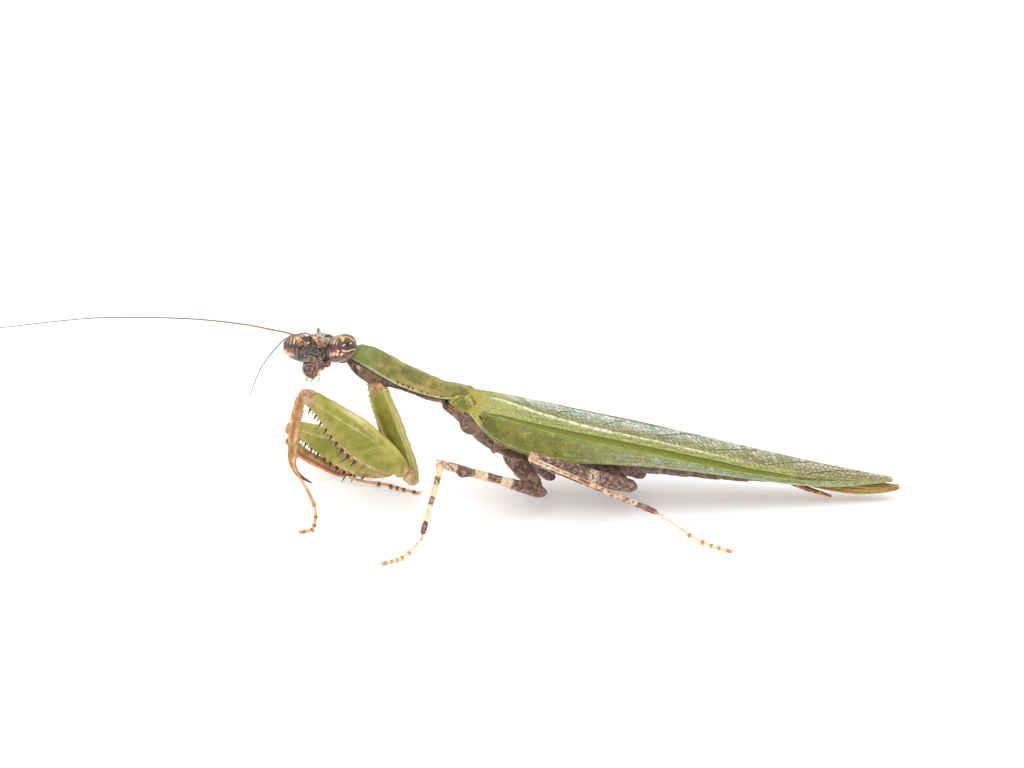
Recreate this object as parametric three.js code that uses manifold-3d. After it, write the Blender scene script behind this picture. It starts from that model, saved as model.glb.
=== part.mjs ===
// A praying mantis at life size, standing on its six feet with its head turned to its left.
// Millimetres, +Z up. The mantis heads towards -X, so its left side is towards -Y.

import * as THREE from 'three';
import { mergeVertices } from 'three/addons/utils/BufferGeometryUtils.js';
import Module from 'manifold-3d';

const wasm = await Module();
wasm.setup();

// ---- driving dimensions ------------------------------------------------------------------

const GAP = 0.3;                  // between neighbouring sub-parts
const WING_THICKNESS = 0.5;
const FEELER_RADIUS = 0.27;       // antennae, palps and cerci at their thinnest
const FOOT_HEIGHT = 0.16;         // of a toe's centre line, so that the floor cuts a small flat

const EYE_SIZE = [1.36, 1.72, 1.32];      // half sizes: outwards, fore and aft, upright
const EYE_SPREAD = 2.54;                  // from the middle of the head to the middle of an eye
const HEAD_PLACE = [-15.15, -1.0, 16.5];
const HEAD_YAW = -30;             // degrees: the face looks 60 degrees to the left of the body's line
const HEAD_ROLL = -10;            // degrees: the left eye is held a little higher

const ACROSS = new THREE.Vector3(0, 1, 0);
const FORWARD_LEG = new THREE.Vector3(0, -1, 0);
const SIDES_OF_BODY = { left: -1, right: 1 };

// ---- colours -----------------------------------------------------------------------------

const FINISH = {
  shield: [0x8a9a3e, 0.5],
  bark: [0x6d5348, 0.7],
  head: [0x5f524d, 0.6],
  eye: [0x8c6355, 0.25],
  feeler: [0xa8683c, 0.5],
  palp: [0xd9cf9a, 0.5],
  tegmen: [0x7d9440, 0.45],
  hindwing: [0xa88a45, 0.4],
  belly: [0x7c6052, 0.6],
  cercus: [0xb8763f, 0.5],
  foreleg: [0x98a045, 0.5],
  raptor: [0xb9814d, 0.5],
  banded: [0xcdb898, 0.55],
  toe: [0xdcb47a, 0.5],
};

// ---- making and joining closed shapes -------------------------------------------------------

function solidOf(geometry) {
  const bare = geometry.clone();
  bare.deleteAttribute('normal');
  bare.deleteAttribute('uv');
  const merged = mergeVertices(bare, 1e-4);
  return new wasm.Manifold(new wasm.Mesh({
    numProp: 3,
    vertProperties: new Float32Array(merged.attributes.position.array),
    triVerts: new Uint32Array(merged.index.array),
  }));
}

function geometryOf(solid) {
  const { vertProperties, triVerts } = solid.getMesh();
  const geometry = new THREE.BufferGeometry();
  geometry.setAttribute('position', new THREE.BufferAttribute(vertProperties, 3));
  geometry.setIndex(new THREE.BufferAttribute(triVerts, 1));
  geometry.computeVertexNormals();
  return geometry;
}

function join(...solids) {
  return solids.reduce((whole, next) => whole.add(next));
}

// Cutting can shave off crumbs, so only the largest piece is kept
function cut(solid, ...cutters) {
  const pieces = cutters.reduce((rest, cutter) => rest.subtract(cutter), solid).decompose();
  return pieces.reduce((largest, piece) => (piece.volume() > largest.volume() ? piece : largest));
}

// A length of body or limb: a sphere's grid laid along a smooth line through the stations. A
// station is [x, y, z, half width, up, down]; down is the same as up where it isn't given. Width
// runs along the wide axis, and up is square to it and to the line.
function limb(stations, { sides = 8, steps = 1, wideAxis = ACROSS, grow = 0 } = {}) {
  const line = new THREE.CatmullRomCurve3(stations.map(([x, y, z]) => new THREE.Vector3(x, y, z)));
  const sizes = new THREE.CatmullRomCurve3(
    stations.map(([, , , wide, up, down = up]) => new THREE.Vector3(wide, up, down)),
  );
  const spans = (stations.length - 1) * steps;
  const geometry = new THREE.SphereGeometry(1, sides, spans + 2);
  const points = geometry.attributes.position;
  for (let i = 0; i < points.count; i += 1) {
    const row = Math.floor(i / (sides + 1));
    const angle = (2 * Math.PI * (i % (sides + 1))) / sides;
    const t = THREE.MathUtils.clamp((row - 1) / spans, 0, 1);
    const onPole = row === 0 || row === spans + 2;
    const along = line.getTangent(t);
    const side = wideAxis.clone().addScaledVector(along, -wideAxis.dot(along)).normalize();
    const lift = along.clone().cross(side);
    const size = sizes.getPoint(t);
    const height = (Math.sin(angle) > 0 ? size.y : size.z) + grow;
    const place = line.getPoint(t);
    if (t === 0) place.addScaledVector(along, -grow);
    if (t === 1) place.addScaledVector(along, grow);
    if (!onPole) {
      place.addScaledVector(side, -Math.cos(angle) * (size.x + grow));
      place.addScaledVector(lift, Math.sin(angle) * height);
    }
    points.setXYZ(i, place.x, place.y, place.z);
  }
  return solidOf(geometry);
}

// Stations on a straight stretch. A row is [share of the way, half width, up, down].
function between(from, to, rows) {
  const start = new THREE.Vector3(...from);
  const end = new THREE.Vector3(...to);
  return rows.map(([share, ...size]) => [...start.clone().lerp(end, share), ...size]);
}

// A spine with four faces, from a root that sits inside its limb to its tip
function spine(root, tip, radius) {
  const way = tip.clone().sub(root);
  const cone = new THREE.ConeGeometry(radius, way.length(), 4);
  cone.translate(0, way.length() / 2, 0);
  cone.applyQuaternion(new THREE.Quaternion().setFromUnitVectors(new THREE.Vector3(0, 1, 0),
    way.normalize()));
  cone.translate(root.x, root.y, root.z);
  return solidOf(cone);
}

// ---- the node list ------------------------------------------------------------------------

const mantis = new THREE.Group();
const head = new THREE.Group();
head.position.set(...HEAD_PLACE);
head.rotation.set(0, THREE.MathUtils.degToRad(HEAD_ROLL), THREE.MathUtils.degToRad(HEAD_YAW), 'ZYX');
head.updateMatrixWorld();
mantis.add(head);

function node(name, solid, finish, parent = mantis) {
  const [color, roughness] = FINISH[finish];
  const material = new THREE.MeshStandardMaterial({ color, roughness, metalness: 0 });
  const mesh = new THREE.Mesh(geometryOf(solid), material);
  mesh.name = name;
  parent.add(mesh);
}

// A solid of the head, seen from the body
function inBody(solid) {
  const geometry = geometryOf(solid);
  geometry.applyMatrix4(head.matrixWorld);
  return solidOf(geometry);
}

// ---- head: x runs to its left, -y out of the face, z to the vertex -----------------------------

function eyeball(side, grow = 0) {
  const ball = new THREE.SphereGeometry(1, 16, 10);
  ball.rotateX(Math.PI / 2);
  ball.scale(EYE_SIZE[0] + grow, EYE_SIZE[1] + grow, EYE_SIZE[2] + grow);
  ball.translate(side * EYE_SPREAD, 0, 0);
  return solidOf(ball);
}

const CROWN_LEFT = [2.3, 0, 0.1];
const CROWN_RIGHT = [-2.3, 0, 0.1];
const crownRows = [[0, 0.6, 0.6], [0.2, 1.25, 1.0], [0.5, 1.45, 1.2], [0.8, 1.25, 1.0], [1, 0.6, 0.6]];
const faceStations = [
  [0, -0.3, 1.05, 1.0, 0.9],
  [0, -0.5, 0.5, 1.7, 1.25],
  [-0.05, -0.9, -0.4, 1.62, 1.15],
  [-0.15, -1.25, -1.2, 1.2, 0.95],
  [-0.3, -1.6, -1.9, 0.8, 0.68],
];
const HORN_ROOT = new THREE.Vector3(0.05, 0, 0.9);
const HORN_TIP = new THREE.Vector3(0.15, 0.2, 2.45);
const SOCKET_SPREAD = 0.7;
const SOCKET_PLACE = [-1.5, 1.0];     // y and z of an antenna's socket

function socket(side) {
  const bump = new THREE.SphereGeometry(0.42, 8, 6);
  bump.translate(side * SOCKET_SPREAD, ...SOCKET_PLACE);
  return solidOf(bump);
}

const headSolid = cut(
  join(
    limb(between(CROWN_LEFT, CROWN_RIGHT, crownRows), { sides: 10 }),
    limb(faceStations, { sides: 12, wideAxis: new THREE.Vector3(1, 0, 0) }),
    spine(HORN_ROOT, HORN_TIP, 0.34),
    socket(-1),
    socket(1),
  ),
  eyeball(-1, GAP / 2),
  eyeball(1, GAP / 2),
);
node('head', headSolid, 'head', head);
node('eye_left', eyeball(1), 'eye', head);
node('eye_right', eyeball(-1), 'eye', head);

const CHIN = [-0.4, -1.9, -2.4];

function palp(side, reach, drop) {
  const [x, y, z] = CHIN;
  return limb([
    [x + side * 0.3, y + 0.3, z, 0.3, 0.3],
    [x + side * (0.45 + reach), y, z, 0.27, 0.27],
    [x + side * (0.5 + reach), y - 0.3, z - drop * 0.6, 0.25, 0.25],
    [x + side * (0.1 + reach), y - 0.35, z - drop, 0.22, 0.22],
  ], { sides: 5 });
}

const mouth = join(
  limb([
    [CHIN[0] + 0.1, CHIN[1] + 0.25, CHIN[2] + 0.45, 0.6, 0.5],
    [CHIN[0], CHIN[1], CHIN[2], 0.52, 0.45],
    [CHIN[0] - 0.05, CHIN[1] - 0.15, CHIN[2] - 0.5, 0.25, 0.25],
  ], { sides: 8, wideAxis: new THREE.Vector3(1, 0, 0) }),
  palp(1, 0.3, 0.5),
  palp(-1, 0.3, 0.5),
);
const faceGrown = limb(faceStations, { sides: 12, wideAxis: new THREE.Vector3(1, 0, 0), grow: GAP / 2 });
node('mouthparts', cut(mouth, faceGrown), 'palp', head);

const headInBody = inBody(headSolid);
const headAndRoom = inBody(join(
  limb(between(CROWN_LEFT, CROWN_RIGHT, crownRows), { sides: 10, grow: GAP }),
  limb(faceStations, { sides: 12, wideAxis: new THREE.Vector3(1, 0, 0), grow: GAP }),
  eyeball(-1, GAP),
  eyeball(1, GAP),
));

// ---- antennae -----------------------------------------------------------------------------

function antenna(points) {
  const last = points.length - 1;
  const stations = points.map((point, i) => {
    const radius = i < 2 ? 0.34 : FEELER_RADIUS - 0.04 * (i / last);
    return [...point, radius, radius];
  });
  return cut(limb(stations, { sides: 5, steps: 1, wideAxis: new THREE.Vector3(0, 0, 1) }), headAndRoom);
}

node('antenna_right', antenna([
  [-16.6, -2.3, 17.9],
  [-17.3, -2.5, 18.35],
  [-18.6, -2.6, 18.55],
  [-20.2, -2.6, 19.1],
  [-22.8, -2.6, 19.6],
  [-26.6, -2.6, 20.05],
  [-30.0, -2.5, 20.2],
  [-33.4, -2.4, 20.2],
  [-37.0, -2.2, 20.1],
  [-40.8, -2.0, 19.7],
  [-44.4, -1.8, 19.2],
  [-47.2, -1.6, 18.8],
]), 'feeler');

node('antenna_left', antenna([
  [-15.6, -3.0, 17.9],
  [-16.2, -3.6, 18.6],
  [-16.9, -4.4, 18.9],
  [-17.8, -6.5, 19.25],
  [-18.7, -9.0, 19.5],
  [-19.5, -12.0, 19.5],
  [-20.1, -15.5, 19.5],
  [-20.4, -19.5, 19.6],
  [-20.6, -23.5, 19.8],
]), 'feeler');

// ---- trunk ---------------------------------------------------------------------------------
// The shield and what lies under it share one margin line, with the gap between them

const SHIELD_SKIN = 0.02;         // the flat side of a half-round section
const shieldMargin = [
  // x, z of the margin, half width, crown, keel
  [-12.3, 15.75, 0.75, 0.8, 0.5],
  [-11.7, 15.3, 1.15, 1.45, 1.0],
  [-10.6, 14.7, 1.42, 1.72, 1.5],
  [-9.1, 13.8, 1.66, 1.86, 1.5],
  [-7.7, 12.95, 1.58, 1.86, 0.55],
  [-6.1, 12.15, 1.36, 1.86, 0.3],
  [-4.2, 11.5, 1.25, 1.7, 0.5],
  [-2.9, 11.25, 1.3, 1.4, 0.5],
];
const shieldEnd = [
  [-1.7, 0, 11.3, 1.42, 1.15, SHIELD_SKIN],
  [-0.5, 0, 11.5, 1.2, 0.65, SHIELD_SKIN],
];
node('pronotum', limb([
  ...shieldMargin.map(([x, z, wide, crown]) => [x, 0, z, wide, crown, SHIELD_SKIN]),
  ...shieldEnd,
], { sides: 12 }), 'shield');

const prosternum = limb(
  shieldMargin.map(([x, z, wide, , keel]) => [x, 0, z - GAP, wide * 0.82, SHIELD_SKIN, keel]),
  { sides: 12 },
);

const neck = limb([
  [-14.5, -0.55, 15.9, 0.7, 0.75],
  [-13.5, -0.25, 15.55, 0.72, 0.75],
  [-12.65, 0, 15.3, 0.75, 0.75],
], { sides: 8 });
node('neck', cut(neck, headAndRoom), 'bark');

const thoraxStations = [
  [-2.6, 0, 10.35, 0.9, 0.3, 0.75],
  [-1.2, 0, 10.0, 1.5, 0.8, 1.4],
  [0.2, 0, 9.4, 1.8, 1.3, 1.9],
  [1.8, 0, 8.5, 2.2, 1.7, 2.5],
  [4.0, 0, 7.4, 2.4, 2.2, 2.7],
  [7.0, 0, 6.5, 2.45, 2.2, 2.4],
  [9.4, 0, 6.0, 2.35, 2.0, 2.1],
  [11.4, 0, 5.6, 2.25, 1.8, 1.7],
];
const abdomenStations = [
  [11.8, 0, 5.5, 2.2, 1.8, 1.7],
  [14.0, 0, 5.15, 2.5, 1.8, 1.85],
  [17.5, 0, 4.65, 2.5, 1.5, 1.55],
  [22.8, 0, 3.85, 2.1, 1.25, 1.3],
  [26.8, 0, 3.15, 1.6, 0.9, 1.0],
  [29.6, 0, 2.75, 1.15, 0.6, 0.7],
  [31.2, 0, 2.5, 0.6, 0.35, 0.4],
];

// ---- wings ----------------------------------------------------------------------------------
// A wing is a sheet hung on three lines that run from its root to its tip: the ridge on the
// back, the shoulder and the free edge. A row is [x, ridge z, shoulder y, z, edge y, z].

const tegmenRows = [
  [-0.4, 11.95, 1.3, 11.1, 2.0, 10.2],
  [2, 11.55, 2.3, 10.15, 3.35, 7.8],
  [5, 10.95, 2.9, 9.45, 4.0, 6.5],
  [9, 9.95, 3.2, 8.55, 4.2, 5.65],
  [13, 9.05, 3.25, 7.7, 4.25, 5.4],
  [18, 7.85, 3.1, 6.75, 4.1, 5.05],
  [23, 6.85, 2.75, 5.4, 3.7, 4.3],
  [28, 5.6, 2.3, 4.0, 3.05, 3.35],
  [33, 4.4, 1.8, 3.0, 2.4, 2.45],
  [37, 3.5, 1.25, 2.6, 1.8, 2.05],
  [40.5, 2.75, 0.8, 2.35, 1.0, 2.05],
  [42.4, 2.3, 0.45, 2.2, 0.6, 2.15],
];
const hindwingRows = [
  [1.8, 10.5, 1.2, 10.0, 1.9, 9.3],
  [6, 9.85, 1.4, 9.2, 2.3, 8.3],
  [12, 8.35, 1.45, 7.9, 2.4, 7.0],
  [18, 6.85, 1.4, 6.45, 2.2, 5.8],
  [24, 5.55, 1.2, 5.0, 1.8, 4.3],
  [29, 4.2, 1.0, 3.5, 1.4, 2.9],
  [33, 3.2, 0.95, 2.5, 1.25, 2.1],
  [36, 2.55, 0.9, 2.0, 1.4, 1.45],
  [39, 2.0, 0.8, 1.65, 1.25, 1.0],
  [41.5, 1.65, 0.65, 1.45, 0.95, 1.05],
  [43.1, 1.45, 0.4, 1.35, 0.55, 1.2],
];

function wing(rows, side, { along = 2, across = 5, grow = 0 } = {}) {
  const line = (pick) => new THREE.CatmullRomCurve3(rows.map(pick));
  const ridge = line(([x, z]) => new THREE.Vector3(x, 0, z));
  const shoulder = line(([x, , y, z]) => new THREE.Vector3(x, side * y, z));
  const edge = line(([x, , , , y, z]) => new THREE.Vector3(x, side * y, z));
  const surface = (s, q) => {
    const section = new THREE.CatmullRomCurve3([edge.getPoint(s), shoulder.getPoint(s), ridge.getPoint(s)]);
    return section.getPoint(q);
  };
  const sheet = new THREE.BoxGeometry(1, 1, 1, (rows.length - 1) * along, across, 1);
  const points = sheet.attributes.position;
  const nudge = 1e-3;
  for (let i = 0; i < points.count; i += 1) {
    const s = points.getX(i) + 0.5;
    const q = points.getY(i) + 0.5;
    const alongWing = surface(Math.min(s + nudge, 1), q).sub(surface(Math.max(s - nudge, 0), q)).normalize();
    const upWing = surface(s, Math.min(q + nudge, 1)).sub(surface(s, Math.max(q - nudge, 0))).normalize();
    const normal = alongWing.clone().cross(upWing).normalize();
    const depth = points.getZ(i) * (WING_THICKNESS + 2 * grow) + side * WING_THICKNESS * 0.5;
    const place = surface(s, q).addScaledVector(normal, depth);
    if (s === 0 || s === 1) place.addScaledVector(alongWing, (2 * s - 1) * grow);
    if (q === 0 || q === 1) place.addScaledVector(upWing, (2 * q - 1) * grow);
    points.setXYZ(i, place.x, place.y, place.z);
  }
  return solidOf(sheet);
}

const slit = new THREE.BoxGeometry(200, GAP, 200);
const middleCut = solidOf(slit);

const wingRoom = [];
for (const [name, side] of Object.entries(SIDES_OF_BODY)) {
  node(`tegmen_${name}`, cut(wing(tegmenRows, side), middleCut), 'tegmen');
  node(`hindwing_${name}`, cut(wing(hindwingRows, side, { across: 3 }), middleCut), 'hindwing');
  wingRoom.push(wing(hindwingRows, side, { along: 1, across: 2, grow: GAP }));
  wingRoom.push(wing(tegmenRows, side, { along: 1, across: 3, grow: GAP }));
}

for (const [name, side] of Object.entries(SIDES_OF_BODY)) {
  const cercus = limb([
    [31.6, side * 0.45, 2.15, 0.3, 0.3],
    [33.2, side * 0.75, 1.6, 0.32, 0.32],
    [34.8, side * 0.95, 1.1, 0.28, 0.28],
    [36.0, side * 1.05, 0.75, 0.2, 0.2],
  ], { sides: 6 });
  node(`cercus_${name}`, cut(cercus, ...wingRoom), 'cercus');
}

// ---- raptorial forelegs ------------------------------------------------------------------------

// Half width and depth along each segment: [share, half width, back, belly]
const foreCoxaRows = [
  [0, 0.55, 0.6], [0.08, 0.85, 0.95], [0.3, 0.95, 1.15], [0.6, 0.85, 1.1], [0.88, 0.7, 0.95], [1, 0.5, 0.6],
];
const foreFemurRows = [
  [0, 0.5, 0.45, 0.6], [0.08, 0.7, 1.0, 1.45], [0.2, 0.85, 1.4, 2.05], [0.38, 0.9, 1.65, 2.4],
  [0.52, 0.8, 1.75, 2.1], [0.72, 0.65, 1.45, 1.35], [0.88, 0.6, 1.15, 0.75], [0.96, 0.62, 1.0, 0.85],
  [1, 0.45, 0.7, 0.6],
];

// Spines of a row stand on a line from one share of a segment to another and lean to its tip
function spineRow({ start, end, out, side, from, to, count, depth, sideways, length, radius, lean }) {
  const along = end.clone().sub(start);
  const way = along.clone().normalize();
  return Array.from({ length: count }, (_, i) => {
    const share = from + ((to - from) * i) / (count - 1);
    const root = start.clone().addScaledVector(along, share);
    root.addScaledVector(out, depth(share) - 0.25).addScaledVector(side, sideways);
    const long = length(i) + 0.25;
    const tip = root.clone().addScaledVector(out, long * 0.9).addScaledVector(way, long * lean);
    tip.addScaledVector(side, Math.sign(sideways) * long * 0.2);
    return spine(root, tip, radius);
  });
}

function rowsDepth(rows, column) {
  const curve = new THREE.CatmullRomCurve3(rows.map((row) => new THREE.Vector3(row[0], row[column], 0)));
  const samples = curve.getPoints(60);
  return (share) => samples.find((point) => point.x >= share - 1e-6)?.y ?? samples.at(-1).y;
}

function foreleg(name, { hip, trochanter, hinge, knee, shin, tarsus, plane, hook }) {
  const vec = (p) => new THREE.Vector3(...p);
  const wideAxis = vec(plane).normalize();
  const coxaStations = between(hip, trochanter, foreCoxaRows);
  const femurStations = between(hinge, knee, foreFemurRows);
  const femurWay = vec(knee).sub(vec(hinge)).normalize();
  const side = wideAxis.clone().addScaledVector(femurWay, -wideAxis.dot(femurWay)).normalize();
  const belly = femurWay.clone().cross(side).negate();
  const femurBelly = rowsDepth(foreFemurRows, 3);
  const femurSpines = [
    ...spineRow({
      start: vec(hinge), end: vec(knee), out: belly, side, from: 0.34, to: 0.86, count: 12,
      depth: femurBelly, sideways: 0.3, length: (i) => (i % 2 ? 0.5 : 0.75), radius: 0.2, lean: -0.25,
    }),
    ...spineRow({
      start: vec(hinge), end: vec(knee), out: belly, side, from: 0.42, to: 0.8, count: 4,
      depth: femurBelly, sideways: -0.3, length: () => 0.8, radius: 0.22, lean: -0.2,
    }),
    ...spineRow({
      start: vec(hinge), end: vec(knee), out: belly, side, from: 0.25, to: 0.4, count: 3,
      depth: femurBelly, sideways: 0.1, length: (i) => 1.3 + 0.2 * i, radius: 0.24, lean: 0.35,
    }),
  ];
  const femur = limb(femurStations, { sides: 10, wideAxis });
  const femurRoom = limb(femurStations, { sides: 10, wideAxis, grow: GAP });
  const coxa = limb(coxaStations, { sides: 8, wideAxis });
  const coxaRoom = limb(coxaStations, { sides: 8, wideAxis, grow: GAP });

  const shinAxis = vec(plane).normalize();
  const tibiaWay = vec(shin[2]).sub(vec(shin[1])).normalize();
  const tibiaSide = shinAxis.clone().addScaledVector(tibiaWay, -shinAxis.dot(tibiaWay)).normalize();
  const inner = tibiaWay.clone().cross(tibiaSide).negate();
  const tibiaStations = [
    [...shin[0], 0.45, 0.5], [...shin[1], 0.45, 0.6], [...shin[2], 0.42, 0.62], [...shin[3], 0.38, 0.55],
    [...hook[0], 0.34, 0.4], [...hook[1], 0.28, 0.3], [...hook[2], 0.16, 0.16],
  ];
  const tibiaSpines = spineRow({
    start: vec(shin[1]), end: vec(shin[3]), out: inner, side: tibiaSide, from: 0.1, to: 1.0, count: 9,
    depth: () => 0.5, sideways: 0.12, length: () => 0.4, radius: 0.16, lean: 0.3,
  });
  const tibia = join(limb(tibiaStations, { sides: 8, wideAxis: shinAxis }), ...tibiaSpines);
  const tibiaRoom = limb(tibiaStations, { sides: 8, wideAxis: shinAxis, grow: GAP });
  return { name, coxa, coxaRoom, femur, femurRoom, femurSpines, tibia, tibiaRoom, tarsus };
}

const floor = new THREE.BoxGeometry(200, 200, 10);
floor.translate(0, 0, -5);
const belowFloor = solidOf(floor);

// A tarsus runs down from the end of its tibia and lays its last segment on the floor
function foot(points, radius, grow = 0) {
  const heading = new THREE.Vector3(...points.at(-1)).sub(new THREE.Vector3(...points[0]));
  const wideAxis = heading.cross(new THREE.Vector3(0, 0, 1)).normalize();
  return limb(points.map((point) => [...point, radius, radius]), { sides: 6, wideAxis, grow });
}

const foreLegs = [
  foreleg('left', {
    hip: [-9.6, -2.0, 12.95],
    trochanter: [-5.85, -3.0, 3.0],
    hinge: [-6.6, -3.9, 4.6],
    knee: [-16.7, -5.0, 13.1],
    plane: [0, -1, 0],
    shin: [[-16.9, -5.05, 12.5], [-17.3, -5.2, 11.0], [-17.65, -5.6, 8.8], [-17.75, -5.9, 7.0]],
    hook: [[-17.75, -6.0, 6.1], [-17.2, -6.1, 5.0], [-15.9, -6.2, 4.15]],
    tarsus: [[-17.6, -6.7, 6.0], [-16.7, -7.2, 4.6], [-15.75, -7.8, 2.9], [-15.45, -8.2, 2.1],
      [-15.5, -8.7, 0.95], [-15.8, -8.95, 0.3], [-16.8, -9.3, FOOT_HEIGHT]],
  }),
  foreleg('right', {
    hip: [-9.85, 1.9, 12.6],
    trochanter: [-7.2, 2.3, 1.9],
    hinge: [-7.5, 3.0, 2.2],
    knee: [-18.9, 8.4, 4.45],
    plane: [-0.34, -0.82, 0.45],
    shin: [[-18.9, 8.4, 3.15], [-17.5, 7.5, 2.0], [-15.4, 6.2, 1.3], [-13.6, 5.0, 0.95]],
    hook: [[-12.7, 4.4, 1.1], [-11.8, 4.1, 1.25], [-11.0, 4.0, 1.7]],
    tarsus: [[-12.6, 3.7, 0.85], [-11.2, 3.3, 0.6], [-9.6, 3.1, 0.45], [-8.2, 2.6, 0.35],
      [-7.2, 2.0, 0.28], [-5.6, 1.2, FOOT_HEIGHT]],
  }),
];

const forelegRoom = [];
for (const leg of foreLegs) {
  const legRoom = [leg.coxaRoom, leg.femurRoom, leg.tibiaRoom];
  const tarsus = cut(foot(leg.tarsus, FEELER_RADIUS), ...legRoom, belowFloor);
  const tarsusRoom = foot(leg.tarsus, FEELER_RADIUS, GAP / 2);
  const femur = cut(join(leg.femur, ...leg.femurSpines), leg.coxaRoom, leg.tibiaRoom, tarsusRoom);
  node(`foreleg_coxa_${leg.name}`, leg.coxa, 'foreleg');
  node(`foreleg_femur_${leg.name}`, femur, 'foreleg');
  node(`foreleg_tibia_${leg.name}`, leg.tibia, 'raptor');
  node(`foreleg_tarsus_${leg.name}`, tarsus, 'toe');
  forelegRoom.push(leg.coxaRoom);
}

node('prosternum', cut(prosternum, ...forelegRoom), 'bark');

// ---- walking legs -------------------------------------------------------------------------------

const coxaRows = [[0, 0.9, 0.9], [0.35, 1.0, 1.0], [0.75, 0.85, 0.85], [1, 0.5, 0.5]];
const femurRows = [
  [0, 0.4, 0.4], [0.05, 0.62, 0.65], [0.2, 0.58, 0.62], [0.4, 0.42, 0.46], [0.7, 0.4, 0.42],
  [0.79, 0.4, 0.42, 0.8], [0.86, 0.4, 0.42], [0.97, 0.42, 0.45], [1, 0.28, 0.3],
];
const tibiaRows = [[0, 0.3, 0.3], [0.04, 0.4, 0.4], [0.2, 0.32, 0.32], [0.8, 0.27, 0.27], [0.96, 0.34, 0.34],
  [1, 0.25, 0.25]];

function walkingLeg(name, { hip, trochanter, hinge, knee, shin, ankle, tarsus, stout = 1 }) {
  const thick = (rows) => rows.map(([share, ...size]) => [share, ...size.map((half) => half * stout)]);
  const wideAxis = FORWARD_LEG;
  const coxaStations = between(hip, trochanter, coxaRows);
  const femurStations = between(hinge, knee, thick(femurRows));
  const tibiaStations = between(shin, ankle, thick(tibiaRows));
  const coxa = limb(coxaStations, { sides: 8, wideAxis });
  const coxaRoom = limb(coxaStations, { sides: 8, wideAxis, grow: GAP });
  const femurRoom = limb(femurStations, { sides: 6, wideAxis, grow: GAP });
  const tibiaRoom = limb(tibiaStations, { sides: 6, wideAxis, grow: GAP });
  node(`${name}_coxa`, coxa, 'bark');
  node(`${name}_femur`, cut(limb(femurStations, { sides: 8, wideAxis }), coxaRoom), 'banded');
  node(`${name}_tibia`, cut(limb(tibiaStations, { sides: 6, wideAxis }), femurRoom), 'banded');
  node(`${name}_tarsus`, cut(foot(tarsus, FEELER_RADIUS), tibiaRoom, belowFloor), 'toe');
  return coxaRoom.add(femurRoom);
}

const walkingRoom = [
  walkingLeg('midleg_left', {
    hip: [3.8, -2.3, 5.7],
    trochanter: [6.6, -3.5, 2.75],
    hinge: [7.2, -4.1, 2.25],
    knee: [-3.0, -8.5, 7.05],
    shin: [-3.0, -8.8, 6.85],
    ankle: [-4.7, -14.1, 2.0],
    tarsus: [[-4.8, -14.4, 1.7], [-5.4, -15.2, 1.1], [-6.1, -15.9, 0.6], [-7.0, -16.6, 0.28],
      [-8.4, -17.4, FOOT_HEIGHT]],
  }),
  walkingLeg('midleg_right', {
    hip: [4.4, 1.9, 5.5],
    trochanter: [7.6, 2.1, 1.9],
    hinge: [8.1, 2.3, 1.4],
    knee: [0.5, 10.5, 5.0],
    shin: [0.4, 10.8, 4.8],
    ankle: [1.7, 16.7, 1.6],
    tarsus: [[1.75, 17.0, 1.35], [2.0, 17.9, 0.9], [2.2, 18.7, 0.5], [2.4, 19.4, 0.28],
      [2.7, 20.6, FOOT_HEIGHT]],
  }),
  walkingLeg('hindleg_left', {
    hip: [11.3, -2.1, 4.8],
    trochanter: [15.3, -3.3, 3.1],
    hinge: [16.2, -3.8, 2.75],
    knee: [6.3, -8.5, 7.8],
    shin: [6.0, -9.0, 7.6],
    ankle: [18.2, -9.1, 2.2],
    tarsus: [[18.5, -9.3, 2.0], [20.0, -10.4, 1.4], [21.6, -11.7, 0.7], [23.3, -12.9, 0.28],
      [25.3, -14.3, FOOT_HEIGHT]],
    stout: 1.12,
  }),
  walkingLeg('hindleg_right', {
    hip: [12.2, 1.7, 4.4],
    trochanter: [16.4, 2.2, 1.95],
    hinge: [17.3, 2.5, 1.6],
    knee: [7.5, 8.6, 5.6],
    shin: [7.3, 9.1, 5.5],
    ankle: [18.6, 13.2, 1.6],
    tarsus: [[18.9, 13.3, 1.4], [20.6, 13.7, 0.9], [22.3, 14.1, 0.5], [23.8, 14.5, 0.28],
      [25.6, 14.9, FOOT_HEIGHT]],
    stout: 1.12,
  }),
];
const trunkRoom = [...wingRoom, ...walkingRoom];
node('pterothorax', cut(limb(thoraxStations, { sides: 12 }), ...trunkRoom), 'bark');
node('abdomen', cut(limb(abdomenStations, { sides: 12 }), ...trunkRoom), 'belly');

// ---- the origin is under the middle of the mantis, on the floor ---------------------------------

const reach = new THREE.Box3().setFromObject(mantis, true);
const middle = reach.getCenter(new THREE.Vector3());
mantis.position.set(-middle.x, -middle.y, -reach.min.z);

export default mantis;
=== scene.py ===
"""A praying mantis at life size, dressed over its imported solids.

Shapes are worked out in millimetres in the mantis's own frame, where it heads towards -X and its
left side is towards -Y, and each is moved into the row frame as its piece is made."""

import math

import bpy
import numpy as np
from mathutils import Matrix, Vector, kdtree
from mathutils.geometry import delaunay_2d_cdt


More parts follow.
